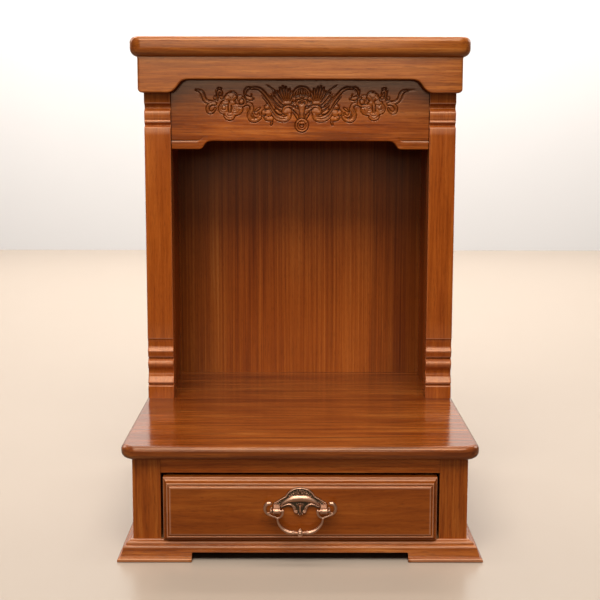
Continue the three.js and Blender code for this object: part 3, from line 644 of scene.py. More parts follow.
# ------------------------------------------------------------------ the carving's strokes, in millimetres (x from the middle, z)
# bodies: radius, height, taper at start and end, path; cuts: width, depth, path; domes: centre, radii, turn, height
CARVED_BODIES=[
 (2.28,0.9,0.25,0.8,[(-164.4,633.2),(-159.8,632.2),(-156.1,629.8),(-153.7,625.7),(-151.9,621.2),(-149.2,617.2),(-144.1,615.1),(-138.8,614.8),(-134.3,613.3)]),
 (2.28,1.0,0.8,0.5,[(-134.3,612.7),(-139.6,612.8),(-143.7,610.9),(-146.0,607.3),(-146.1,603.4),(-144.0,600.4),(-140.3,599.9),(-136.7,602.2),(-134.5,605.8)]),
 (1.67,0.8,0.5,0.4,[(-131.6,618.7),(-130.7,624.0),(-130.3,629.2),(-128.5,632.5),(-125.4,631.3),(-124.0,627.3)]),
 (1.22,1.2,0.4,0.4,[(-99.3,605.6),(-96.2,605.7),(-93.3,605.3)]),
 (1.67,0.9,0.6,0.6,[(-91.7,622.4),(-88.5,619.5),(-87.7,615.3),(-89.5,611.3),(-94.1,609.5),(-98.0,611.0)]),
 (3.34,1.1,0.6,0.8,[(-86.5,612.3),(-83.0,613.1),(-79.3,610.7),(-78.0,606.3),(-78.9,601.5),(-81.1,597.8),(-80.8,593.0),(-77.6,588.9),(-72.9,588.1),(-68.4,589.8),(-65.0,593.0)]),
 (1.52,0.7,0.6,0.3,[(-75.0,599.9),(-74.1,596.0),(-71.4,593.9),(-67.9,595.4),(-66.3,599.3)]),
 (1.37,0.9,0.4,0.4,[(-72.6,601.7),(-69.0,604.4),(-65.2,607.0)]),
 (1.82,0.7,0.5,0.5,[(-88.2,626.3),(-88.0,631.1),(-85.7,635.3),(-81.4,637.4)]),
 (1.22,0.8,0.5,0.4,[(-47.4,587.3),(-46.8,583.7),(-48.0,581.2)]),
 (2.05,1.3,0.5,0.9,[(-78.7,635.9),(-73.4,636.5),(-68.1,635.9),(-63.6,633.4),(-59.1,629.3),(-54.5,623.9),(-50.0,617.7),(-46.1,611.4),(-43.1,606.6)]),
 (2.05,1.3,0.3,0.9,[(-59.8,622.4),(-55.3,617.9),(-51.5,612.8),(-47.6,606.8),(-44.0,601.1),(-39.4,596.0),(-34.0,593.0),(-28.2,591.8),(-23.0,592.3)]),
 (3.19,1.1,0.4,0.9,[(-51.6,609.1),(-47.0,602.3),(-41.9,595.1),(-36.1,590.3),(-29.6,588.8),(-24.3,589.6),(-20.6,592.4),(-19.4,596.4)]),
 (1.98,1.3,0.6,0.7,[(-50.0,622.5),(-45.5,616.5),(-40.9,610.9),(-36.4,606.9),(-31.2,604.8)]),
 (1.82,1.2,0.4,0.6,[(-46.0,625.2),(-40.9,619.2),(-35.4,613.3),(-30.9,609.3)]),
 (1.67,1.1,0.3,0.6,[(-43.9,630.0),(-39.1,624.0),(-33.9,617.7),(-29.4,612.9)]),
 (2.43,1.9,0.6,0.6,[(-40.3,603.4),(-36.4,600.1),(-32.1,598.5)]),
 (1.29,0.9,0.8,0.35,[(-27.9,616.5),(-33.4,624.3),(-37.5,631.8)]),
 (1.29,0.9,0.8,0.35,[(-26.3,617.4),(-30.6,626.7),(-34.2,637.2)]),
 (1.29,0.9,0.8,0.35,[(-24.5,617.8),(-27.2,628.5),(-29.9,639.6)]),
 (1.29,0.9,0.8,0.35,[(-22.7,618.2),(-23.6,629.4),(-25.1,638.7)]),
 (1.29,0.9,0.8,0.35,[(-20.9,617.9),(-19.9,627.9),(-19.0,635.7)]),
 (1.29,0.9,0.8,0.35,[(-19.0,617.1),(-16.6,625.2),(-13.0,631.8)]),
 (1.29,0.9,0.8,0.35,[(-17.5,615.9),(-14.2,620.7),(-10.2,624.0)]),
 (1.9,1.3,0.7,0.6,[(-29.4,599.7),(-28.9,603.9),(-27.0,607.3),(-23.3,609.0),(-19.1,609.3),(-15.1,608.4)]),
 (2.28,1.2,0.5,0.7,[(-16.9,607.8),(-12.7,605.4),(-8.7,602.4),(-6.0,598.5)]),
 (1.98,1.1,0.6,0.5,[(-11.2,599.4),(-8.4,595.2),(-6.0,590.4)]),
 (1.52,0.9,0.5,0.4,[(-7.8,604.8),(-5.4,600.6),(-4.2,594.9)]),
 (1.52,1.3,0.8,0.8,[(-3.3,621.2),(-5.7,621.6),(-8.4,621.3)]),
 (1.67,1.5,0.8,0.7,[(-5.1,618.0),(-6.9,615.6),(-6.6,612.0),(-4.2,610.4)]),
 (1.37,1.0,0.8,0.4,[(-2.7,618.9),(-3.3,615.9)]),
 (1.52,0.9,0.8,0.8,[(-12.7,624.9),(-10.8,631.2),(-6.9,635.4),(-2.7,637.2),(1.0,637.5)]),
 (1.52,0.8,0.5,0.7,[(-8.7,625.5),(-6.3,633.0)]),
 (1.52,0.8,0.5,0.7,[(-4.5,626.1),(-3.3,634.5)]),
 (1.52,0.8,0.5,0.7,[(-0.2,626.4),(-0.1,635.1)])]
CARVED_CUTS=[
 (0.75,1.1,[(-165.1,634.7),(-159.0,634.2),(-154.5,632.2),(-151.2,628.0),(-149.8,623.2),(-147.4,619.7),(-144.1,617.9),(-139.5,617.5),(-135.0,617.8)]),
 (0.5,0.5,[(-158.4,626.9),(-156.8,621.7),(-153.9,617.2),(-150.2,614.8)]),
 (0.55,0.8,[(-135.3,611.8),(-139.6,610.6),(-142.7,607.9),(-143.8,604.7)]),
 (0.95,1.2,[(-133.9,632.9),(-132.4,628.5),(-131.9,623.2),(-130.9,617.8)]),
 (0.7,0.9,[(-129.4,628.5),(-127.9,624.7),(-128.3,621.0)]),
 (0.75,1.2,[(-114.7,612.0),(-114.4,606.7),(-113.9,601.5),(-112.7,598.3)]),
 (0.75,1.2,[(-109.4,611.2),(-109.6,606.7),(-110.1,601.8),(-111.2,598.8)]),
 (0.6,0.9,[(-117.9,606.7),(-118.1,605.8),(-118.6,604.9),(-119.3,604.2),(-120.2,603.7),(-121.2,603.6),(-122.1,603.7),(-123.0,604.2),(-123.7,604.9),(-124.2,605.7),(-124.3,606.7),(-124.1,607.7),(-123.7,608.6),(-123.0,609.3),(-122.1,609.7),(-121.1,609.9),(-120.1,609.7),(-119.2,609.3),(-118.5,608.6),(-118.1,607.7),(-117.9,606.7)]),
 (0.5,0.7,[(-100.8,605.4),(-101.0,604.4),(-101.4,603.5),(-102.2,602.7),(-103.1,602.3),(-104.2,602.1),(-105.2,602.3),(-106.1,602.7),(-106.8,603.5),(-107.3,604.4),(-107.5,605.4),(-107.3,606.4),(-106.8,607.3),(-106.1,608.1),(-105.1,608.5),(-104.1,608.7),(-103.1,608.5),(-102.1,608.1),(-101.4,607.3),(-100.9,606.4),(-100.8,605.4)]),
 (0.5,0.9,[(-103.2,605.9),(-103.5,605.2),(-104.1,604.9),(-104.8,605.2),(-105.0,605.8),(-104.8,606.5),(-104.1,606.8),(-103.5,606.5),(-103.2,605.9)]),
 (0.5,0.6,[(-118.1,600.9),(-119.3,600.4),(-120.5,600.1),(-121.8,600.1),(-123.1,600.4),(-124.2,600.9),(-125.2,601.7),(-126.1,602.6),(-126.7,603.8),(-127.1,605.0),(-127.2,606.3),(-127.1,607.5),(-126.7,608.8),(-126.0,609.9),(-125.1,610.8),(-124.1,611.6),(-122.9,612.1),(-121.7,612.4),(-120.4,612.4),(-119.2,612.1),(-118.0,611.6)]),
 (0.5,0.6,[(-98.8,608.9),(-98.2,608.1),(-97.8,607.2),(-97.5,606.2),(-97.3,605.2),(-97.3,604.3),(-97.5,603.3),(-97.8,602.3),(-98.3,601.5),(-98.9,600.7),(-99.7,600.0),(-100.5,599.4),(-101.4,598.9),(-102.4,598.6),(-103.4,598.5),(-104.4,598.5),(-105.5,598.7),(-106.4,599.0),(-107.3,599.4),(-108.1,600.0),(-108.9,600.7)]),
 (0.5,0.7,[(-100.2,607.7),(-96.4,607.8),(-91.8,607.7)]),
 (0.55,0.8,[(-120.6,596.6),(-118.5,594.1),(-115.5,592.0)]),
 (0.55,0.8,[(-116.2,598.5),(-114.7,595.8),(-112.1,594.4),(-108.6,595.6),(-106.6,598.0)]),
 (0.5,0.7,[(-117.7,593.5),(-114.7,591.4),(-110.9,591.2),(-107.1,593.2)]),
 (0.6,0.9,[(-123.6,612.9),(-120.6,611.5),(-117.6,611.4),(-114.8,612.4)]),
 (0.5,0.7,[(-121.3,615.9),(-118.3,615.3),(-115.3,616.0)]),
 (0.6,0.9,[(-106.9,617.4),(-103.9,615.8),(-101.3,613.4)]),
 (0.8,1.2,[(-112.7,631.3),(-108.3,631.5),(-104.5,630.2),(-101.8,627.3),(-100.3,623.6),(-100.7,619.7),(-99.2,616.4)]),
 (0.55,0.8,[(-112.2,623.2),(-109.8,620.9),(-107.0,623.0)]),
 (0.5,0.7,[(-109.9,620.9),(-110.2,618.2)]),
 (0.5,0.7,[(-114.6,625.9),(-112.8,622.9)]),
 (0.5,0.7,[(-105.2,626.3),(-106.7,623.3)]),
 (0.7,1.0,[(-99.7,625.7),(-96.1,625.8),(-92.7,625.4)]),
 (0.5,0.6,[(-120.5,624.7),(-119.0,620.2),(-116.0,617.8)]),
 (0.6,1.0,[(-93.7,619.8),(-92.9,619.7),(-92.1,619.5),(-91.4,619.1),(-90.8,618.5),(-90.3,617.9),(-90.0,617.1),(-89.8,616.3),(-89.8,615.5),(-90.0,614.7),(-90.3,614.0),(-90.8,613.3),(-91.4,612.8),(-92.1,612.4),(-92.9,612.1),(-93.7,612.0),(-94.6,612.1),(-95.4,612.4),(-96.1,612.8),(-96.7,613.3),(-97.2,614.0)]),
 (0.7,1.1,[(-90.0,622.4),(-86.7,619.4),(-85.8,615.0),(-87.1,610.7)]),
 (0.55,0.85,[(-84.0,610.4),(-80.9,608.0),(-80.0,604.1),(-81.4,599.9),(-82.9,596.3),(-82.0,591.7)]),
 (0.5,0.7,[(-79.1,598.1),(-78.5,594.2),(-76.0,591.0),(-71.7,590.4),(-68.0,592.2),(-65.6,595.4)]),
 (0.5,0.6,[(-84.4,605.9),(-85.0,600.2)]),
 (0.6,0.8,[(-73.8,604.1),(-72.0,600.5),(-68.3,602.9),(-64.6,605.6)]),
 (0.8,1.1,[(-78.5,628.4),(-77.9,624.8),(-79.1,622.7)]),
 (0.8,1.1,[(-88.5,626.6),(-86.7,624.3),(-84.6,624.5)]),
 (0.6,0.8,[(-76.5,622.4),(-76.7,618.8)]),
 (0.7,0.9,[(-89.4,630.0),(-87.8,635.0),(-84.2,638.0),(-79.5,638.9)]),
 (0.5,0.6,[(-84.4,629.3),(-83.3,632.3),(-80.9,634.1)]),
 (0.95,1.3,[(-55.5,605.9),(-57.1,603.2),(-56.4,601.7)]),
 (0.95,1.3,[(-57.7,596.9),(-55.9,596.6)]),
 (0.95,1.3,[(-62.6,594.5),(-61.3,593.6)]),
 (0.6,0.9,[(-59.8,608.9),(-55.3,611.0),(-50.6,610.4),(-48.2,607.4)]),
 (0.6,0.9,[(-55.4,604.0),(-50.8,604.3),(-47.6,601.9),(-46.6,597.8)]),
 (0.6,0.9,[(-60.7,593.0),(-57.7,590.9),(-53.9,591.8)]),
 (0.6,0.9,[(-50.4,587.6),(-47.4,585.8)]),
 (0.75,1.1,[(-45.3,587.9),(-45.3,584.0),(-46.8,580.3)]),
 (0.7,1.2,[(-79.5,638.1),(-74.2,638.7),(-68.1,638.3),(-62.7,635.8),(-58.1,631.7),(-53.6,626.3),(-49.1,620.4),(-44.7,614.7),(-40.5,609.6),(-36.1,605.4),(-31.1,603.0)]),
 (0.65,1.0,[(-70.0,633.4),(-64.7,631.4),(-60.0,626.9),(-55.5,621.5),(-50.9,615.3),(-46.7,608.4),(-41.9,601.1),(-37.0,596.9),(-31.9,595.0),(-25.8,594.5)]),
 (0.7,1.1,[(-62.1,625.7),(-57.6,619.7),(-53.1,613.4),(-48.5,605.9),(-44.6,599.3),(-40.4,593.9),(-34.9,590.8),(-28.8,590.2),(-23.3,590.8)]),
 (0.6,0.9,[(-52.4,627.5),(-47.9,621.6),(-43.3,615.6),(-38.5,610.5),(-33.3,606.6)]),
 (0.6,0.9,[(-48.4,628.4),(-43.6,622.8),(-38.2,616.5),(-32.7,611.1),(-29.4,608.4)]),
 (0.55,0.8,[(-45.1,631.5),(-40.3,625.8),(-34.8,619.2),(-29.4,614.4)]),
 (0.95,1.5,[(-44.2,635.3),(-40.6,630.9),(-36.3,625.8),(-32.4,620.4),(-30.0,617.4)]),
 (0.8,1.1,[(-54.5,641.3),(-49.9,638.3),(-46.0,635.3),(-43.6,632.1)]),
 (0.5,0.7,[(-41.7,602.5),(-38.5,599.0),(-34.9,596.9)]),
 (0.38,0.45,[(-50.0,623.4),(-48.3,625.6)]),
 (0.38,0.45,[(-46.3,626.7),(-44.8,628.8)]),
 (0.38,0.45,[(-47.3,620.4),(-45.7,622.7)]),
 (0.38,0.45,[(-43.7,623.7),(-42.2,625.8)]),
 (0.38,0.45,[(-44.7,617.5),(-43.0,619.8)]),
 (0.38,0.45,[(-41.0,620.8),(-39.5,622.9)]),
 (0.38,0.45,[(-42.0,614.6),(-40.4,616.8)]),
 (0.38,0.45,[(-38.4,617.9),(-36.9,620.0)]),
 (0.38,0.45,[(-39.4,611.7),(-37.7,613.9)]),
 (0.38,0.45,[(-35.7,615.0),(-34.2,617.1)]),
 (0.38,0.45,[(-36.8,608.7),(-35.1,611.0)]),
 (0.38,0.45,[(-33.1,612.1),(-31.6,614.2)]),
 (0.38,0.45,[(-34.1,605.8),(-32.4,608.1)]),
 (0.38,0.45,[(-30.4,609.1),(-28.9,611.2)]),
 (0.6,1.1,[(-27.1,616.9),(-32.0,625.5),(-35.9,633.0)]),
 (0.6,1.1,[(-25.4,617.6),(-28.9,627.6),(-32.1,636.9)]),
 (0.6,1.1,[(-23.6,618.0),(-25.4,628.9),(-27.5,637.6)]),
 (0.6,1.1,[(-21.8,618.0),(-21.8,628.6),(-22.1,635.7)]),
 (0.6,1.1,[(-20.0,617.5),(-18.3,626.6),(-16.0,632.2)]),
 (0.6,1.1,[(-18.3,616.5),(-15.4,623.0),(-11.6,626.4)]),
 (0.7,1.2,[(-30.3,597.9),(-30.9,602.4),(-29.4,607.0),(-26.0,610.5),(-21.8,611.4),(-17.2,611.0),(-13.6,609.3)]),
 (0.85,1.3,[(-17.5,606.3),(-13.9,603.4),(-10.6,600.1),(-9.3,599.1)]),
 (0.75,1.1,[(-13.0,598.8),(-10.3,594.9),(-7.5,590.8),(-6.0,588.3)]),
 (0.6,0.9,[(-6.9,608.7),(-5.1,603.9),(-3.9,598.5)]),
 (0.55,0.8,[(-14.2,616.5),(-11.8,613.5),(-8.4,612.0)]),
 (0.6,1.1,[(-9.0,623.6),(-5.1,623.7),(-2.0,622.5),(-1.4,619.5)]),
 (0.95,1.4,[(-4.3,614.4),(-3.9,613.5)]),
 (0.6,1.0,[(-1.1,618.3),(-2.0,615.0),(-1.1,612.0),(0.1,611.1)]),
 (0.65,1.1,[(-5.4,608.4),(-4.2,602.4),(-3.1,596.4),(-2.7,590.4)]),
 (0.6,1.0,[(-6.6,625.5),(-4.6,633.6)]),
 (0.6,1.0,[(-2.2,626.1),(-1.6,634.5)]),
 (0.75,1.1,[(-10.2,624.6),(-6.0,625.5),(-0.1,625.1)]),
 (0.6,0.9,[(-13.6,630.9),(-9.9,636.0),(-5.1,639.0),(-0.1,639.9)])]
CARVED_DOMES=[
 (-127.8,635.8,2.43,1.52,0,0.6),
 (-124.6,622.3,2.74,1.98,20,0.7),
 (-134.6,621.4,1.67,2.43,0,0.5),
 (-121.4,605.8,7.75,8.21,0,1.0),
 (-102.3,604.0,10.03,8.36,-6,1.0),
 (-112.3,595.3,8.06,7.3,0,1.0),
 (-118.9,614.2,6.08,3.95,-8,1.0),
 (-107.8,614.3,4.56,4.1,20,1.0),
 (-111.9,606.3,2.05,7.9,0,1.5),
 (-121.1,606.7,2.13,2.13,0,1.45),
 (-109.7,623.5,8.51,6.38,0,0.8),
 (-117.0,620.8,3.34,3.95,20,0.8),
 (-93.7,615.9,3.5,3.5,0,1.3),
 (-81.2,620.9,5.47,2.58,8,0.9),
 (-85.5,623.4,2.58,1.82,20,0.7),
 (-54.1,608.3,3.95,3.34,-30,1.0),
 (-58.9,599.6,3.34,3.95,0,0.9),
 (-52.2,599.0,5.17,5.47,20,1.0),
 (-53.8,590.9,4.86,3.04,25,0.8),
 (-48.0,590.9,3.65,3.65,0,0.8),
 (-25.8,600.4,4.86,3.34,10,0.7),
 (-23.0,614.1,6.99,3.04,0,1.0),
 (-22.3,601.5,6.69,5.93,0,0.65),
 (-10.9,612.6,2.43,3.34,-20,0.8),
 (-11.8,619.5,1.82,3.34,30,0.7),
 (-6.9,585.5,1.98,2.43,20,1.9),
 (-3.4,584.5,1.67,2.28,-10,1.9)]
CARVED_CENTRE=[
 ('b',5.17,1.4,1,0.62,[(0.0,609.0),(0.0,603.9),(0.0,597.9),(0.0,589.5)]),
 ('d',0.0,609.3,5.47,2.58,0,1.5),
 ('d',0.0,583.7,1.98,2.58,0,2.0),
 ('g',0.7,1.1,[(0.0,624.0),(0.0,619.5)]),
 ('b',1.67,1.2,1,1,[(8.5,580.7),(8.1,578.1),(6.9,575.7),(5.0,573.8),(2.6,572.5),(0.0,572.1),(-2.6,572.5),(-5.0,573.8),(-6.9,575.7),(-8.1,578.1),(-8.5,580.7),(-8.1,583.4),(-6.9,585.8),(-5.0,587.7),(-2.6,588.9),(0.0,589.3),(2.6,588.9),(5.0,587.7),(6.9,585.8),(8.1,583.4),(8.5,580.7)]),
 ('b',1.37,0.9,1,1,[(5.2,580.4),(4.9,578.8),(4.2,577.4),(3.0,576.3),(1.6,575.5),(0.0,575.3),(-1.6,575.5),(-3.0,576.3),(-4.2,577.4),(-4.9,578.8),(-5.2,580.4),(-4.9,582.0),(-4.2,583.4),(-3.0,584.6),(-1.6,585.3),(0.0,585.6),(1.6,585.3),(3.0,584.6),(4.2,583.4),(4.9,582.0),(5.2,580.4)]),
 ('d',0.0,580.0,2.43,2.43,0,0.9),
 ('g',0.7,1.3,[(10.8,580.7),(10.3,577.5),(8.7,574.5),(6.4,572.2),(3.3,570.7),(0.0,570.2),(-3.3,570.7),(-6.4,572.2),(-8.7,574.5),(-10.3,577.4),(-10.8,580.7),(-10.3,584.0),(-8.7,586.9),(-6.3,589.3),(-3.3,590.8),(0.0,591.3),(3.3,590.8),(6.3,589.3),(8.7,586.9),(10.3,584.0),(10.8,580.7)]),
 ('g',0.55,1.0,[(6.8,580.6),(6.5,578.5),(5.5,576.7),(4.0,575.2),(2.1,574.3),(0.0,573.9),(-2.1,574.3),(-4.0,575.2),(-5.5,576.7),(-6.5,578.5),(-6.8,580.6),(-6.5,582.6),(-5.5,584.5),(-4.0,585.9),(-2.1,586.9),(0.0,587.2),(2.1,586.9),(4.0,586.0),(5.5,584.5),(6.5,582.6),(6.8,580.6)]),
 ('g',0.55,1.2,[(1.2,581.5),(0.9,580.7),(0.0,580.4),(-0.9,580.7),(-1.2,581.5),(-0.9,582.2),(0.0,582.5),(0.9,582.2),(1.2,581.5)])]

# ------------------------------------------------------------------ the apron with its carving
def dist_polyline(PX, PZ, pts):
    """Distance to a polyline and the place along it, 0 to 1."""
    best = np.full(PX.shape, 1e9)
    place = np.zeros(PX.shape)
    P = np.asarray(pts, float)
    L = np.hypot(*(P[1:] - P[:-1]).T)
    total, run = max(L.sum(), 1e-9), 0.0
    for i in range(len(P) - 1):
        ax, az = P[i]
        bx, bz = P[i + 1]
        vx, vz = bx - ax, bz - az
        ll = max(vx * vx + vz * vz, 1e-12)
        t = np.clip(((PX - ax) * vx + (PZ - az) * vz) / ll, 0, 1)
        d = np.hypot(PX - ax - t * vx, PZ - az - t * vz)
        m = d < best
        best[m] = d[m]
        place[m] = (run + t[m] * L[i]) / total
        run += L[i]
    return best, place


def window(X, Z, pts, pad):
    P = np.asarray(pts, float)
    i0, i1 = np.searchsorted(X, P[:, 0].min() - pad), np.searchsorted(X, P[:, 0].max() + pad)
    j0, j1 = np.searchsorted(Z, P[:, 1].min() - pad), np.searchsorted(Z, P[:, 1].max() + pad)
    return slice(max(j0, 0), max(j1, 0)), slice(max(i0, 0), max(i1, 0))


class Relief:
    def __init__(self, X, Z):
        self.X, self.Z = X, Z
        self.PX, self.PZ = np.meshgrid(X, Z)
        self.H = np.zeros(self.PX.shape)
        self.S = np.full(self.PX.shape, 50.0)     # distance to the nearest raised form
        self.G = np.zeros(self.PX.shape)

    def body(self, r, h, t0, t1, pts):
        pts = catmull(pts, 6)
        w = window(self.X, self.Z, pts, r + 5)
        PX, PZ = self.PX[w], self.PZ[w]
        if PX.size == 0:
            return
        d, t = dist_polyline(PX, PZ, pts)
        env = np.interp(t, [0, 0.35, 0.65, 1], [t0, 1, 1, t1])
        rr = r * env
        k = np.clip(1 - (d / rr) ** 2, 0, 1)
        self.H[w] = np.maximum(self.H[w], h * (0.55 + 0.45 * env) * k ** 0.6)
        self.S[w] = np.minimum(self.S[w], d - rr)

    def dome(self, x, z, rx, rz, angle, h):
        pad = max(rx, rz) + 5
        w = window(self.X, self.Z, [(x - pad, z - pad), (x + pad, z + pad)], 0)
        PX, PZ = self.PX[w], self.PZ[w]
        if PX.size == 0:
            return
        a = math.radians(-angle)
        u = (PX - x) * math.cos(a) + (PZ - z) * math.sin(a)
        v = -(PX - x) * math.sin(a) + (PZ - z) * math.cos(a)
        q = np.sqrt((u / rx) ** 2 + (v / rz) ** 2)
        self.H[w] = np.maximum(self.H[w], h * np.clip(1 - q ** 2, 0, 1) ** 0.55)
        self.S[w] = np.minimum(self.S[w], (q - 1) * min(rx, rz))

    def cut(self, wid, dep, pts, taper=0.55):
        pts = catmull(pts, 5)
        w = window(self.X, self.Z, pts, wid * 3 + 1)
        PX, PZ = self.PX[w], self.PZ[w]
        if PX.size == 0:
            return
        d, t = dist_polyline(PX, PZ, pts)
        env = np.interp(t, [0, 0.2, 0.8, 1], [taper, 1, 1, taper])
        self.G[w] = np.maximum(self.G[w], dep * env * np.exp(-(d / (wid * env)) ** 2))

    def hair(self, r, t0, t1, pts):
        """Two fine incised lines that follow a stem."""
        pts = catmull(pts, 6)
        w = window(self.X, self.Z, pts, r + 2)
        PX, PZ = self.PX[w], self.PZ[w]
        if PX.size == 0:
            return
        d, t = dist_polyline(PX, PZ, pts)
        env = np.interp(t, [0, 0.35, 0.65, 1], [t0, 1, 1, t1])
        fade = np.interp(t, [0, 0.12, 0.88, 1], [0, 1, 1, 0])
        self.G[w] = np.maximum(self.G[w], 0.62 * fade * np.exp(-((d - 0.42 * r * env) / 0.34) ** 2))

    def finish(self, rim=0.75, rim_w=1.5):
        s = self.S
        outline = np.where((s > -0.25) & (s < rim_w), np.sin(np.pi * np.clip((s + 0.25) / (rim_w + 0.25), 0, 1)), 0.0)
        groove = np.maximum(self.G, rim * outline)
        return self.H - groove, groove


def apron(mat):
    x0, x1, d0, d1, z0, z1 = corner("valance")
    x0, x1 = x0 + 0.7, x1 - 0.7            # a fine joint line beside each post
    d0 = 274.0
    zc = z0 + 12.5
    foot = catmull([(154.5, 0), (152.6, 0.1), (150.2, 1.4), (147.4, 4.6), (145.0, 8.0), (142.4, 10.5), (139.2, 11.9), (135.5, 12.4), (132, 12.5)], 6)
    foot_x, foot_z = [p[0] for p in foot][::-1], [p[1] for p in foot][::-1]

    def edge(x):
        a = abs(x)
        if a >= 154.5:
            return z0
        if a <= 132:
            return zc
        return z0 + float(np.interp(a, foot_x, foot_z))
    inner = np.linspace(-164.0, 164.0, 547)
    X = np.concatenate([np.array([x0, -193, -188, -182, -176, -170]), inner, np.array([170, 176, 182, 188, 193, x1])])
    Zup = np.linspace(zc + 12.0, 643.5, 137)
    Zall = np.concatenate([Zup, [652, 664, z1]])
    R = Relief(X, Zall)
    K, S = 0.978, 2.6                       # the carving sits a little right of the middle
    place = lambda pts, m=1: [(K * m * x + S, z) for x, z in pts]
    for mirror in (1, -1):
        for r, h, t0, t1, pts in CARVED_BODIES:
            R.body(r * 0.94, h, t0, t1, place(pts, mirror))
            if r > 1.9 and len(pts) > 3:
                R.hair(r * 0.94, t0, t1, place(pts, mirror))
        for wd, dp, pts in CARVED_CUTS:
            R.cut(wd, dp, place(pts, mirror))
        for cx, cz, rx, rz, an, h in CARVED_DOMES:
            R.dome(K * mirror * cx + S, cz, rx, rz, an * mirror, h)
    for item in CARVED_CENTRE:
        if item[0] == "b":
            R.body(*item[1:5], place(item[5]))
        elif item[0] == "g":
            R.cut(*item[1:3], place(item[3]), *item[4:])
        else:
            R.dome(K * item[1] + S, *item[2:])
    H, groove = R.finish(1.15, 1.15)
    # lower rows follow the cut edge, with the ears' incised line above a slightly proud strip
    low = []
    lowg = []
    nlow = 11
    rr = 1.5
    rows = []
    for k in range(6):                       # rounding of the lower edge
        a = math.radians(90 * k / 5)
        rows.append(("edge", rr * (1 - math.sin(a)), rr * (1 - math.cos(a))))
    V, cav, crest = [], [], []
    E = np.array([edge(x) for x in X])
    slope = np.gradient(E, X)
    nz = 1 / np.sqrt(1 + slope ** 2)
    nx = -slope * nz
    for _, dd, up in rows:
        for i, x in enumerate(X):
            V.append((x + nx[i] * up, d0 + dd - 0.45 * max(0.0, min(1.0, (abs(x) - 153.5) / 3.0)), E[i] + nz[i] * up))
            cav.append(0.0)
            crest.append(0.0)
    body_rows = 24
    base = Zup[0]
    for k in range(1, body_rows):
        t = k / body_rows
        for i, x in enumerate(X):
            zl = E[i] + nz[i] * rr
            z = zl + (base - zl) * t
            xx = x + nx[i] * rr * (1 - t) ** 2
            a = abs(xx)
            # the incised line runs level over the ear and turns up where the ear ends
            zline = zc + 0.2 + (4.0 * ((158 - a) / 8.0) ** 2 if a < 158 else 0.0)
            strength = float(np.interp(a, [148.5, 152, 158], [0, 0.5, 1]))
            g = 1.1 * strength * math.exp(-((z - zline) / 0.85) ** 2)
            proud = 0.45 * max(0.0, min(1.0, (a - 153.5) / 3.0)) * (1.0 if z < zline else math.exp(-((z - zline) / 0.7) ** 2))
            V.append((xx, d0 + g - proud, z))
            # painted shade: the incised line is painted darker
            cav.append(min(1.0, g * 0.75))
            crest.append(0.0)
    nX = len(X)
    for j in range(len(Zall)):
        for i in range(nX):
            V.append((X[i], d0 - H[j, i], Zall[j]))
            # painted shade in the carved grooves (cavity), painted highlight on the raised tops (crest)
            cav.append(float(min(1.0, groove[j, i] * 0.82)))
            crest.append(float(min(1.0, max(0.0, H[j, i] - 0.35) * 0.8)))
    rowsN = len(V) // nX
    F = []
    for j in range(rowsN - 1):
        for i in range(nX - 1):
            a = j * nX + i
            F.append((a, a + 1, a + nX + 1, a + nX))
    # back, at the board's thickness
    n0 = len(V)
    back = [(x, d1, e) for x, e in zip(X, E)] + [(x, d1, z1) for x in X[::-1]]
    V += back
    cav += [0.0] * len(back)
    crest += [0.0] * len(back)
    F.append(tuple(range(n0, n0 + 2 * nX))[::-1])
    for i in range(nX - 1):
        F.append((n0 + i, n0 + i + 1, i + 1, i))                                   # under side
        a = (rowsN - 1) * nX + i
        F.append((a, a + 1, n0 + 2 * nX - 2 - i, n0 + 2 * nX - 1 - i))             # top
    left = [j * nX for j in range(rowsN)]
    right = [j * nX + nX - 1 for j in range(rowsN)]
    F.append(tuple(left[::-1]) + (n0,) + (n0 + 2 * nX - 1,))
    F.append(tuple(right) + (n0 + nX,) + (n0 + nX - 1,))
    return make("valance_carved", V, F, mat, "cabinet", ("valance",), 60,
                {"cavity": cav, "crest": crest})


# ------------------------------------------------------------------ the cast handle
PIVOT_X, PIVOT_D, PIVOT_Z = 31.25, -12.5, 74.25


def tube(path, radii, depth=PIVOT_D, sides=14, per=5, squash=1.0):
    """A round bar along a path in a plane of constant depth, with rounded ends."""
    P = np.array(catmull(path, per))
    T = np.gradient(P, axis=0)
    T /= np.linalg.norm(T, axis=1)[:, None]
    idx = np.linspace(0, len(radii) - 1, len(P))
    R = np.interp(idx, range(len(radii)), radii)
    rings = []

    def ring(c, n, r):
        return [(c[0] + n[0] * r * math.cos(a), depth + squash * r * math.sin(a), c[1] + n[1] * r * math.cos(a))
                for a in (2 * math.pi * k / sides for k in range(sides))]
    for k in (80, 60, 35):
        a = math.radians(k)
        n = np.array([-T[0][1], T[0][0]])
        rings.append(ring(P[0] - T[0] * R[0] * math.sin(a), n, R[0] * math.cos(a)))
    for p, t, r in zip(P, T, R):
        rings.append(ring(p, np.array([-t[1], t[0]]), r))
    for k in (35, 60, 80):
        a = math.radians(k)
        n = np.array([-T[-1][1], T[-1][0]])
        rings.append(ring(P[-1] + T[-1] * R[-1] * math.sin(a), n, R[-1] * math.cos(a)))
    return rings_to_mesh(rings)


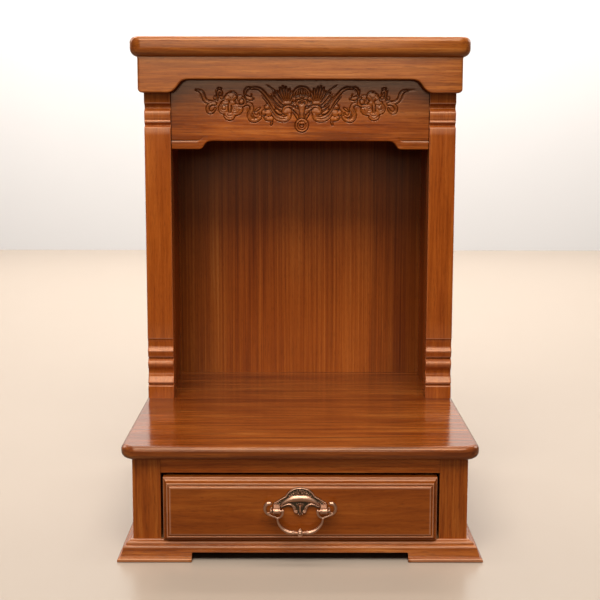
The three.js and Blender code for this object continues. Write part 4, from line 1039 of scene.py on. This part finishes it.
def lathe_x(x0, x1, d, z, prof, sides=28, bore=None):
    """prof: (t along x 0..1, radius). With a bore the form is a ring all along."""
    rings = []
    for t, r in prof:
        x = x0 + (x1 - x0) * t
        rings.append([(x, d + r * math.cos(a), z + r * math.sin(a)) for a in (2 * math.pi * k / sides for k in range(sides))])
    if bore is None:
        return rings_to_mesh(rings)
    rings.append([(x1, d + bore * math.cos(a), z + bore * math.sin(a)) for a in (2 * math.pi * k / sides for k in range(sides))])
    rings.append([(x0, d + bore * math.cos(a), z + bore * math.sin(a)) for a in (2 * math.pi * k / sides for k in range(sides))])
    n = sides
    V = [p for r in rings for p in r]
    F = []
    m = len(rings)
    for i in range(m):
        for j in range(n):
            a, b = i * n + j, i * n + (j + 1) % n
            c, e = ((i + 1) % m) * n + j, ((i + 1) % m) * n + (j + 1) % n
            F.append((a, b, e, c))
    return V, F


def ball(x, d, z, rx, rd=None, rz=None, w=18, h=12):
    rd, rz = rd or rx, rz or rx
    V = [(x, d, z + rz)]
    for i in range(1, h):
        t = math.pi * i / h
        for j in range(w):
            a = 2 * math.pi * j / w
            V.append((x + rx * math.sin(t) * math.cos(a), d + rd * math.sin(t) * math.sin(a), z + rz * math.cos(t)))
    V.append((x, d, z - rz))
    F = [(0, 1 + j, 1 + (j + 1) % w) for j in range(w)]
    for i in range(h - 2):
        for j in range(w):
            a, b = 1 + i * w + j, 1 + i * w + (j + 1) % w
            F.append((a, a + w, b + w, b))
    last = len(V) - 1
    F += [(last, 1 + (h - 2) * w + (j + 1) % w, 1 + (h - 2) * w + j) for j in range(w)]
    return V, F


def hoop(cx, d, cz, r, t, w=26, s=8, tall=1.0):
    """A ring lying in a plane of constant depth."""
    V, F = [], []
    for i in range(w):
        a = 2 * math.pi * i / w
        for j in range(s):
            b = 2 * math.pi * j / s
            k = r + t * math.cos(b)
            V.append((cx + k * math.cos(a), d + t * math.sin(b), cz + k * math.sin(a) * tall))
    for i in range(w):
        for j in range(s):
            a, b = i * s + j, i * s + (j + 1) % s
            c, e = ((i + 1) % w) * s + j, ((i + 1) % w) * s + (j + 1) % s
            F.append((a, b, e, c))
    return V, F


def slab(outline, d0, d1):
    n = len(outline)
    V = [(x, d0, z) for x, z in outline] + [(x, d1, z) for x, z in outline]
    F = [tuple(range(n)), tuple(range(n, 2 * n))[::-1]] + [(i, i + n, (i + 1) % n + n, (i + 1) % n) for i in range(n)]
    return V, F


def bar_x(poly, x0, x1):
    n = len(poly)
    V = [(x0, d, z) for d, z in poly] + [(x1, d, z) for d, z in poly]
    F = [tuple(range(n)), tuple(range(n, 2 * n))[::-1]] + [(i, i + n, (i + 1) % n + n, (i + 1) % n) for i in range(n)]
    return V, F


def cast_mesh(parts, voxel, smooth_times=2, factor=0.35):
    """All forms run together into one closed skin. Coordinates stay in millimetres."""
    V, F = [], []
    for pv, pf in parts:
        P = np.asarray(pv, float)
        pf = [tuple(f) for f in pf]
        if signed_volume(P - P.mean(axis=0), pf) < 0:
            pf = [f[::-1] for f in pf]
        n = len(V)
        V += [tuple(p) for p in P]
        F += [tuple(i + n for i in f) for f in pf]
    me = bpy.data.meshes.new("cast")
    me.from_pydata(V, [], F)
    ob = bpy.data.objects.new("cast", me)
    SCENE.collection.objects.link(ob)
    md = ob.modifiers.new("skin", "REMESH")
    md.mode, md.voxel_size, md.adaptivity = "VOXEL", voxel, 0.0
    if smooth_times:
        sm = ob.modifiers.new("even", "SMOOTH")
        sm.factor, sm.iterations = factor, smooth_times
    bpy.context.view_layer.update()
    dg = bpy.context.evaluated_depsgraph_get()
    new = bpy.data.meshes.new_from_object(ob.evaluated_get(dg))
    co = np.empty(len(new.vertices) * 3)
    new.vertices.foreach_get("co", co)
    co = co.reshape(-1, 3)
    faces = [tuple(p.vertices) for p in new.polygons]
    bpy.data.objects.remove(ob)
    bpy.data.meshes.remove(me)
    bpy.data.meshes.remove(new)
    return co, faces


def edges_of(faces):
    E = set()
    for f in faces:
        for i in range(len(f)):
            a, b = f[i], f[(i + 1) % len(f)]
            E.add((a, b) if a < b else (b, a))
    return np.array(sorted(E), dtype=np.int64)


def hollows(co, faces, rounds=10):
    """How far each point lies inside the smoothed skin, in millimetres."""
    E = edges_of(faces)
    n = len(co)
    deg = np.bincount(E.ravel(), minlength=n).astype(float)
    s = co.copy()
    for _ in range(rounds):
        acc = np.zeros_like(s)
        np.add.at(acc, E[:, 0], s[E[:, 1]])
        np.add.at(acc, E[:, 1], s[E[:, 0]])
        s = 0.5 * s + 0.5 * acc / deg[:, None]
    N = np.zeros_like(co)
    for k in range(3):
        tri = np.array([(f[0], f[1], f[2]) for f in faces]) if k == 0 else tri
    a, b, c = co[tri[:, 0]], co[tri[:, 1]], co[tri[:, 2]]
    fn = np.cross(b - a, c - a)
    F4 = [np.array([f[i] if i < len(f) else f[-1] for f in faces]) for i in range(4)]
    for idx in F4:
        np.add.at(N, idx, fn)
    N /= np.maximum(np.linalg.norm(N, axis=1), 1e-12)[:, None]
    return np.einsum("ij,ij->i", s - co, N), N


def mirror_x(V, F):
    return [(-x, d, z) for x, d, z in V], [f[::-1] for f in F]


def handle(mat):
    # plate outline, right half from the crest down
    half = [(0, 103), (4, 102.7), (8, 101.6), (12, 99.8), (15.4, 97.3), (18.2, 94), (19.4, 91.4), (21, 90.4), (25.2, 88), (30.2, 84.8),
            (34.6, 81.9), (36, 79.8), (36.3, 77.4), (35.4, 75.2), (31.5, 74.2), (27, 74.5), (23.6, 74.5), (20.8, 75.7), (18.6, 76.7), (15.6, 76.9),
            (12.6, 76.5), (10.4, 75.2), (9.3, 72.8), (8.7, 70), (7.5, 67.9), (5.6, 67), (3.9, 67.6), (3.3, 66.2), (1.6, 65.6), (0, 64.5)]
    right = catmull(half, 3)
    outline = right + [(-x, z) for x, z in right[::-1] if x > 0.01]
    parts = [slab(outline, -1.6, 0.5)]
    barrel = [(0.0, 3.1), (0.05, 3.7), (0.12, 3.98), (0.22, 3.7), (0.28, 3.55), (0.5, 3.6), (0.72, 3.55), (0.78, 3.7), (0.88, 3.98), (0.95, 3.7), (1.0, 3.1)]
    for s in (-1, 1):
        parts.append(lathe_x(s * PIVOT_X - 5, s * PIVOT_X + 5, PIVOT_D, PIVOT_Z, barrel, 28, 2.1))
        parts.append(bar_x([(-0.5, 76.2), (-0.5, 81.4), (-5, 80.4), (-11.4, 77.9), (-12.5, 77.3), (-10.3, 76.5), (-9.4, 73.9), (-5, 75.4)],
                           s * PIVOT_X - 4, s * PIVOT_X + 4))
    co, faces = cast_mesh(parts, 0.30, 2)
    gx = np.arange(-38, 38.01, 0.25)
    gz = np.arange(62, 105.01, 0.25)
    R = Relief(gx, gz)
    for s in (-1, 1):
        m = lambda pts: [(s * x, z) for x, z in pts]
        rim = catmull([(0, 102.1), (6, 101.2), (11, 99.2), (15, 96.1), (17.9, 92.4), (18.7, 90.6)], 8)
        R.body(0.95, 1.3, 1, 1, m(rim[::4] + [rim[-1]]))
        shoulder = catmull([(19.8, 90.0), (24.8, 87.2), (30, 83.9), (34.6, 80.9), (35.2, 78.6)], 8)
        R.body(0.85, 1.1, 1, 0.8, m(shoulder[::4] + [shoulder[-1]]))
        for path, step, r, h in ((rim, 1.75, 0.72, 1.75), (shoulder, 1.7, 0.68, 1.6)):
            P = np.array(path)
            run = np.concatenate([[0], np.cumsum(np.hypot(*(P[1:] - P[:-1]).T))])
            for t in np.arange(step / 2, run[-1], step):
                R.dome(s * float(np.interp(t, run, P[:, 0])), float(np.interp(t, run, P[:, 1])), r, r, 0, h)
        # leaf work inside the crest
        for k, a in enumerate(range(6, 76, 9)):
            t = math.radians(a)
            r0, r1 = (8.0, 14.6) if k % 2 == 0 else (9.4, 15.2)
            pts = [(r0 * math.sin(t), 84.5 + r0 * math.cos(t)), ((r0 + r1) / 2 * math.sin(t + 0.05), 84.5 + (r0 + r1) / 2 * math.cos(t + 0.05)),
                   (min(r1 * math.sin(t), 16.6), 84.5 + r1 * math.cos(t))]
            R.body(0.62, 0.95, 0.5, 0.7, m(pts))
        for x, z, r in ((2.4, 95.2, 0.8), (5.6, 96.4, 0.8), (8.8, 94.6, 0.8), (11.8, 92.6, 0.8), (4.0, 98.6, 0.7), (8.2, 97.8, 0.7), (12.2, 95.6, 0.7), (1.4, 99.0, 0.7)):
            R.dome(s * x, z, r, r * 0.8, 25 * s, 1.1)
        R.dome(s * 14.4, 91.2, 1.25, 1.25, 0, 2.5)
        # textured ground at the shoulders
        for x, z in ((22.2, 84.6), (24.2, 82.8), (26.3, 84.3), (26.6, 81.4), (28.8, 82.6), (29.2, 79.9), (31.2, 81.2), (31.6, 78.3), (33.2, 79.4),
                     (24.6, 79.9), (27, 78.7), (29.4, 77.4), (26.2, 76.6), (33.4, 76.9), (22.8, 87.0)):
            R.dome(s * x, z, 0.85, 0.65, 40 * s, 0.75)
        # leaf scroll under the crescent
        scroll = [(25.2, 76.4), (22.2, 77.8), (18.4, 79.4), (14.6, 80.0), (11.4, 79.0), (9.0, 76.6), (7.9, 73.4), (7.3, 70.4), (5.8, 68.6), (4.3, 69.2),
                  (4.0, 71.0), (5.2, 71.9)]
        R.body(1.75, 1.9, 0.45, 0.5, m(scroll))
        R.body(0.8, 2.1, 0.6, 0.5, m([(8.6, 78.4), (6.6, 76.0), (5.6, 73.2), (6.1, 71.2)]))
        R.dome(s * 5.4, 70.6, 1.1, 1.1, 0, 2.5)
        R.cut(0.34, 0.9, m([(23.4, 76.6), (19, 78.2), (14.8, 78.9), (11.9, 78.0), (9.9, 76), (8.9, 73), (8.2, 70.2)]))
        for a, b in (((21.0, 78.8), (19.6, 76.4)), ((18.2, 79.8), (16.9, 77.0)), ((15.2, 80.6), (14.2, 77.6)), ((12.2, 80.2), (12.0, 77.2)), ((9.6, 73.4), (7.4, 72.6)),
                     ((9.2, 71.2), (7.0, 70.8)), ((10.2, 76.0), (8.0, 75.2))):
            R.cut(0.28, 0.7, m([a, ((a[0] + b[0]) / 2, (a[1] + b[1]) / 2), b]))
        # palmette
        R.body(0.62, 1.9, 0.8, 0.7, m([(2.6, 81.2), (1.9, 79.2), (0.9, 76.8), (0.55, 73.2), (0.9, 70.0), (1.9, 67.6), (2.9, 66.9)]))
        R.body(0.5, 1.6, 0.8, 0.6, m([(4.4, 80.6), (3.2, 78.4), (2.6, 75.6)]))
        R.dome(s * 2.9, 66.9, 0.9, 0.8, 0, 1.9)
    R.body(0.7, 2.1, 0.8, 0.9, [(0, 82.0), (0, 78.5), (0, 74), (0, 69.5), (0, 66.0)])
    R.body(1.0, 1.8, 1.0, 0.35, [(0, 101.6), (0, 99.4), (0, 96.8)])
    R.dome(0, 65.9, 1.0, 1.0, 0, 2.2)
    # the plain crescent
    R.body(4.5, 3.4, 0.22, 0.22, [(-25.8, 77.6), (-23.6, 80.8), (-19, 84.2), (-13, 86.6), (-6.5, 87.8), (0, 88.2), (6.5, 87.8), (13, 86.6), (19, 84.2), (23.6, 80.8), (25.8, 77.6)])
    H, groove = R.finish(0.35, 0.7)
    base = co.copy()
    fx = np.clip((co[:, 0] - gx[0]) / 0.25, 0, len(gx) - 1.001)
    fz = np.clip((co[:, 2] - gz[0]) / 0.25, 0, len(gz) - 1.001)
    ix, iz = fx.astype(int), fz.astype(int)
    tx, tz = fx - ix, fz - iz

    def sample(A):
        return (A[iz, ix] * (1 - tx) * (1 - tz) + A[iz, ix + 1] * tx * (1 - tz) + A[iz + 1, ix] * (1 - tx) * tz + A[iz + 1, ix + 1] * tx * tz)
    h = sample(H)
    on_plate = (co[:, 1] > -2.2)
    lift = np.clip((0.2 - co[:, 1]) / 1.6, 0, 1) * on_plate
    # soften the relief where the lugs rise out of it
    co[:, 1] -= h * lift
    cav, _ = hollows(co, faces, 8)
    c = np.clip(cav * 3.0, -0.4, 1.2)
    ground = np.where(on_plate, np.clip(0.85 - h * 0.95, 0, 0.85), 0.22)
    plate_cav = np.clip(ground + c * 0.6, 0, 1)
    make("handle_plate_cast", co, faces, mat, "drawer", ("handle_plate",), None, {"cavity": plate_cav}, check=False)

    # bail
    parts = []
    for s in (-1, 1):
        m = lambda pts: [(s * x, z) for x, z in pts]
        add = lambda pts, radii, **k: parts.append(tube(m(pts), radii, **k))
        add([(0, 44.5), (5.5, 44.3), (9.2, 44.4), (12.6, 44.8), (16.6, 46.1), (21.7, 49), (25.9, 53.2), (28.6, 57.5), (29.8, 61.5), (30.1, 64.4)],
            [1.7, 1.9, 2.7, 2.9, 2.8, 2.35, 1.95, 1.6, 1.35, 1.25])
        add([(30.1, 64.4), (27.4, 65.6), (25.2, 67.2), (23.7, 69.8), (23.0, 72.4), (23.0, 74.4)], [1.2, 1.35, 1.6, 1.75, 1.7, 1.6])
        add([(30.1, 64.4), (33.4, 66.2), (38.3, 68.2), (42.6, 70.2), (45.7, 73.6), (46.8, 78), (45.6, 82.1), (42.8, 84.6), (40.2, 84.9)],
            [1.2, 1.15, 1.35, 1.7, 2.0, 2.25, 2.45, 2.6, 2.35])
        parts.append(ball(s * 39.7, PIVOT_D, 84.9, 2.55, 2.6, 2.5))
        x0, x1 = sorted((s * 22.8, s * 39.4))
        parts.append(lathe_x(x0, x1, PIVOT_D, PIVOT_Z, [(0, 1.5), (1, 1.5)], 20))
        x0, x1 = s * 36.9, s * 39.7
        parts.append(lathe_x(min(x0, x1), max(x0, x1), PIVOT_D, PIVOT_Z, [(0, 2.4), (0.2, 2.9), (0.5, 3.05), (0.8, 2.9), (1, 2.3)], 24))
        parts.append(ball(s * 23, PIVOT_D, PIVOT_Z + 0.3, 2.0, 2.0, 2.1))
        add([(38.2, 73.6), (40.4, 72.2), (42.6, 71.3), (44.2, 71.6)], [1.6, 1.45, 1.35, 1.3])
        add([(38.6, 75.4), (38.9, 77.6), (37.6, 79.2)], [1.3, 1.1, 0.9])
        for x, r in ((5.2, 2.7), (6.5, 2.5)):
            parts.append(lathe_x(s * x - 0.45, s * x + 0.45, PIVOT_D, 44.3, [(0, r - 0.5), (0.3, r), (0.7, r), (1, r - 0.5)], 22))
        parts.append(ball(s * 9.3, PIVOT_D, 44.7, 2.9, 2.6, 3.0))
        parts.append(hoop(s * 9.3, PIVOT_D - 2.2, 44.8, 1.75, 0.5))
        parts.append(ball(s * 9.3, PIVOT_D - 2.3, 44.8, 0.8))
    parts.append(ball(0, PIVOT_D, 44.2, 4.3, 2.9, 4.5))
    parts.append(hoop(0, PIVOT_D - 1.9, 44.0, 3.1, 0.75))
    parts.append(ball(0, PIVOT_D - 2.4, 44.0, 1.5, 1.1, 1.5))
    parts.append(tube([(-2.6, 47.4), (0, 49.9), (2.6, 47.4)], [0.7, 0.9, 0.7], depth=PIVOT_D - 1.2))
    parts.append(tube([(0, 46.4), (0, 49.0)], [1.7, 0.8], depth=PIVOT_D - 0.6))
    co, faces = cast_mesh(parts, 0.30, 3)
    cav, _ = hollows(co, faces, 10)
    patch = np.clip(cav * 2.6, -0.5, 1.0)
    near_eye = np.exp(-(((np.abs(co[:, 0]) - 38.0) / 2.4) ** 2 + ((co[:, 2] - 74.6) / 3.2) ** 2))
    val = np.clip(0.10 + patch + 0.55 * near_eye, 0, 1)
    make("handle_bail_cast", co, faces, mat, "bail", ("handle_bail",), None, {"cavity": val}, check=False)


# ------------------------------------------------------------------ the camera
def camera():
    cam = bpy.data.cameras.new("camera")
    cam.sensor_width = 36.0
    cam.sensor_fit = "HORIZONTAL"
    cam.lens = 65.52
    cam.shift_x = 0.0021
    cam.shift_y = -0.05
    cam.clip_start, cam.clip_end = 0.05, 60.0
    ob = bpy.data.objects.new("camera", cam)
    SCENE.collection.objects.link(ob)
    pitch, yaw, roll = math.radians(7.293), math.radians(0.1395), math.radians(0.0952)
    Fw = Vector((math.sin(yaw) * math.cos(pitch), math.cos(yaw) * math.cos(pitch), -math.sin(pitch)))
    R = Vector((math.cos(yaw), -math.sin(yaw), 0))
    U = R.cross(Fw)
    R2 = R * math.cos(roll) + U * math.sin(roll)
    U2 = -R * math.sin(roll) + U * math.cos(roll)
    M = Matrix((R2, U2, -Fw)).transposed().to_4x4()
    M.translation = Vector((-0.0058, -1.6343, 0.5734))
    ob.matrix_world = M
    SCENE.camera = ob


# ------------------------------------------------------------------ the studio
def studio():
    def plain(name, col, rough, spec=0.5, bounce=1.0):
        """A plain surface; bounce lowers only the light that it hands on to matt surfaces."""
        N = Nodes(name)
        tc = N.nt.nodes.new("ShaderNodeTexCoord")
        n = N.noise(tc.outputs["Object"], 3.0, 3.0, 0.5)[0]
        g = N.math("MULTIPLY_ADD", n, 0.03, 0.985)
        grey = N.add("ShaderNodeCombineColor", i0=g, i1=g, i2=g).outputs[0]
        c = N.mix(1.0, col, grey, "MULTIPLY")
        sh = N.add("ShaderNodeBsdfPrincipled", Base_Color=c, Roughness=rough)
        sh.inputs["Specular IOR Level"].default_value = spec
        if bounce >= 1.0:
            return N.out(sh.outputs[0])
        dull = N.add("ShaderNodeBsdfDiffuse", Color=(*[k * bounce for k in col], 1.0))
        ray = N.nt.nodes.new("ShaderNodeLightPath")
        soft = N.math("ADD", ray.outputs["Is Diffuse Ray"], N.math("MULTIPLY", ray.outputs["Is Glossy Ray"], 0.7), clamp=True)
        mixed = N.add("ShaderNodeMixShader", i0=soft, i1=sh.outputs[0], i2=dull.outputs[0])
        return N.out(mixed.outputs[0])
    me = bpy.data.meshes.new("floor")
    me.from_pydata([(-9, -9, 0), (9, -9, 0), (9, 9, 0), (-9, 9, 0)], [], [(0, 1, 2, 3)])
    fl = bpy.data.objects.new("floor", me)
    SCENE.collection.objects.link(fl)
    me.materials.append(plain("floor_plain", (0.52, 0.42, 0.33), 0.30, 0.35, 0.22))
    me = bpy.data.meshes.new("backdrop")
    me.from_pydata([(-9, 3.6, 0), (9, 3.6, 0), (9, 3.6, 6), (-9, 3.6, 6)], [], [(0, 3, 2, 1)])
    bd = bpy.data.objects.new("backdrop", me)
    SCENE.collection.objects.link(bd)
    me.materials.append(plain("backdrop_plain", (0.93, 0.89, 0.86), 0.9, 0.2))

    w = bpy.data.worlds.new("world")
    SCENE.world = w
    w.use_nodes = True
    nt = w.node_tree
    bg = nt.nodes["Background"]
    bg.inputs[0].default_value = (1.0, 0.965, 0.92, 1)
    bg.inputs[1].default_value = 0.06
    seen = nt.nodes.new("ShaderNodeBackground")
    seen.inputs[0].default_value = (0.93, 0.885, 0.83, 1)
    seen.inputs[1].default_value = 1.0
    ray = nt.nodes.new("ShaderNodeLightPath")
    mx = nt.nodes.new("ShaderNodeMixShader")
    nt.links.new(ray.outputs["Is Camera Ray"], mx.inputs[0])
    nt.links.new(bg.outputs[0], mx.inputs[1])
    nt.links.new(seen.outputs[0], mx.inputs[2])
    nt.links.new(mx.outputs[0], nt.nodes["World Output"].inputs[0])

    def area(name, loc, target, size, power, col=(1, 1, 1), spread=180, spare=()):
        L = bpy.data.lights.new(name, "AREA")
        L.shape = "RECTANGLE"
        L.size, L.size_y = size
        L.energy = power
        L.color = col
        L.spread = math.radians(spread)
        ob = bpy.data.objects.new(name, L)
        SCENE.collection.objects.link(ob)
        ob.location = loc
        ob.rotation_euler = (Vector(target) - Vector(loc)).to_track_quat("-Z", "Y").to_euler()
        if spare:
            away = bpy.data.collections.new(name + "_spares")
            for o in spare:
                away.objects.link(o)
            ob.light_linking.receiver_collection = away
            for item in away.collection_objects:
                item.light_linking.link_state = "EXCLUDE"
        return ob
    area("key", (-0.15, -1.75, 2.65), (0, 0, 0.35), (2.4, 1.4), 84, (1, 0.97, 0.93))
    area("fill", (-0.3, -3.2, 1.35), (0, 0, 0.35), (2.0, 1.2), 25, (1, 0.97, 0.94), spare=(fl, bd))
    area("top", (0, -0.2, 2.9), (0, -0.2, 0), (2.8, 0.6), 26, (1, 0.98, 0.95))
    area("wall_light", (0, 1.9, 3.3), (0, 3.6, 1.0), (5, 0.8), 215, (1, 0.985, 0.965))
    area("side_left", (-3.0, 1.7, 1.9), (0, 0.2, 0.35), (1.6, 1.6), 30, (1, 0.975, 0.94), spare=(fl, bd))
    area("side_right", (3.0, 1.7, 1.9), (0, 0.2, 0.35), (1.6, 1.6), 26, (1, 0.975, 0.94), spare=(fl, bd))


# ------------------------------------------------------------------ the cabinet
camera()
studio()

M_top = wood("varnish_top", "X", (0.31, 0.12, 0.40), tone=0.99, warm=0.18, contrast=0.9, veins=0.30)
M_frieze = wood("varnish_frieze", "X", (1.71, 0.30, 0.92), tone=1.03, warm=0.14, contrast=0.95, veins=0.45)
# shade: painted shadow under the frieze, darker towards the top and the ends
M_apron = wood("varnish_apron", "X", (2.43, 0.61, 1.33), tone=1.10, contrast=1.0, veins=0.5, carved=True,
               shade=(("Z", 0.572, 0.634, 0.42), ("|X", 0.105, 0.185, 0.80)))
M_platform = wood("varnish_platform", "X", (0.93, 1.27, 0.21), tone=0.72, contrast=1.15, veins=0.75, fine=0.62, stretch=1.3, rough=0.13, flecks=0.3)
M_rail = wood("varnish_rail", "X", (3.11, 0.22, 1.83), tone=1.15, veins=0.5)
M_drawer = wood("varnish_drawer", "X", (4.57, 0.92, 0.37), tone=0.86, contrast=0.62, veins=0.28, wander=3.0, fine=0.8, flecks=0.15, blotch=0.3)
M_plinth = wood("varnish_plinth", "X", (5.23, 1.42, 1.17), tone=1.0, warm=0.08, veins=0.45)
# shade: painted shadow on the post heads under the frieze
M_postL = wood("varnish_post_left", "Z", (0.41, 0.77, 0.15), tone=1.13, contrast=0.5, veins=0.2, figure=0.08, flecks=0.22, shade=(("Z", 0.588, 0.622, 0.62),))
M_postR = wood("varnish_post_right", "Z", (1.93, 1.31, 0.71), tone=1.10, contrast=0.55, veins=0.22, figure=0.08, flecks=0.22, shade=(("Z", 0.588, 0.622, 0.62),))
M_stileL = wood("varnish_stile_left", "Z", (2.61, 0.27, 1.75), tone=0.95, contrast=0.85, veins=0.35)
M_stileR = wood("varnish_stile_right", "Z", (3.67, 0.95, 1.21), tone=0.93, contrast=0.85, veins=0.35)
# painted shade in the niche: darker towards the top and the sides
niche_painted_shade = (("Z", 0.38, 0.56, 0.62), ("|X", 0.095, 0.200, 0.62))
M_back = wood("veneer_back", "Z", (0.77, 1.93, 0.35), tone=0.98, contrast=0.9, veins=0.35, wander=0.22, fine=0.9, stretch=4.5, gloss=0.4, rough=0.32,
              figure=0.04, flecks=0.2, shade=niche_painted_shade)
M_sideL = wood("veneer_side_left", "Z", (1.37, 2.63, 0.81), tone=0.85, contrast=0.95, veins=0.35, wander=0.25, stretch=4.0, gloss=0.4, rough=0.30)
M_sideR = wood("veneer_side_right", "Z", (2.17, 3.11, 1.47), tone=0.85, contrast=0.95, veins=0.35, wander=0.25, stretch=4.0, gloss=0.4, rough=0.30)
M_carcL = wood("varnish_carcass_left", "Y", (0.53, 2.27, 0.67), tone=1.0)
M_carcR = wood("varnish_carcass_right", "Y", (1.11, 3.19, 1.57), tone=1.0)
M_rear = wood("varnish_rear", "Z", (3.01, 0.19, 2.57), tone=0.85, contrast=0.9, gloss=0.4, rough=0.34)
M_rearL = wood("varnish_rear_left", "Z", (0.81, 2.77, 1.15), tone=1.0, contrast=0.6, veins=0.25)
M_rearR = wood("varnish_rear_right", "Z", (1.53, 3.31, 0.31), tone=1.0, contrast=0.6, veins=0.25)
M_in = plain_wood("bare_wood", "Y", (0.3, 0.2, 0.9))
M_inX = plain_wood("bare_wood_across", "X", (1.3, 0.7, 0.4))
M_floor = plain_wood("bare_board", "X", (2.2, 0.5, 0.1), (0.34, 0.17, 0.07), (0.17, 0.075, 0.028))
M_bronze = bronze("antique_bronze")

nosed_board("platform", M_platform, "cabinet", 22, 7.5, 8.5)
nosed_board("top_board", M_top, "cabinet", 19, 8.5, 12.5)
moulded_post("post_front_left", M_postL, "cabinet")
moulded_post("post_front_right", M_postR, "cabinet")
frieze(M_frieze)
apron(M_apron)
plinth(M_plinth, M_carcL, M_carcR)
drawer_front(M_drawer)
handle(M_bronze)

for node, mat, edge in (("crown_left", M_carcL, 0.6), ("crown_right", M_carcR, 0.6),
                        ("post_rear_left", M_rearL, 1.0), ("post_rear_right", M_rearR, 1.0),
                        ("side_panel_left", M_sideL, 0.3), ("side_panel_right", M_sideR, 0.3),
                        ("side_rail_left", M_carcL, 0.8), ("side_rail_right", M_carcR, 0.8),
                        ("back_panel", M_back, 0.3),
                        ("base_post_front_left", M_stileL, 1.2), ("base_post_front_right", M_stileR, 1.2),
                        ("base_post_rear_left", M_stileR, 1.2), ("base_post_rear_right", M_stileL, 1.2),
                        ("base_side_left", M_carcL, 0.6), ("base_side_right", M_carcR, 0.6),
                        ("base_back", M_rear, 0.5), ("drawer_rail", M_rail, 0.9), ("base_floor", M_floor, 0.0),
                        ("drawer_side_left", M_in, 0.8), ("drawer_side_right", M_in, 0.8),
                        ("drawer_back", M_inX, 0.8), ("drawer_bottom", M_inX, 0.0)):
    dress(node, mat, edge)
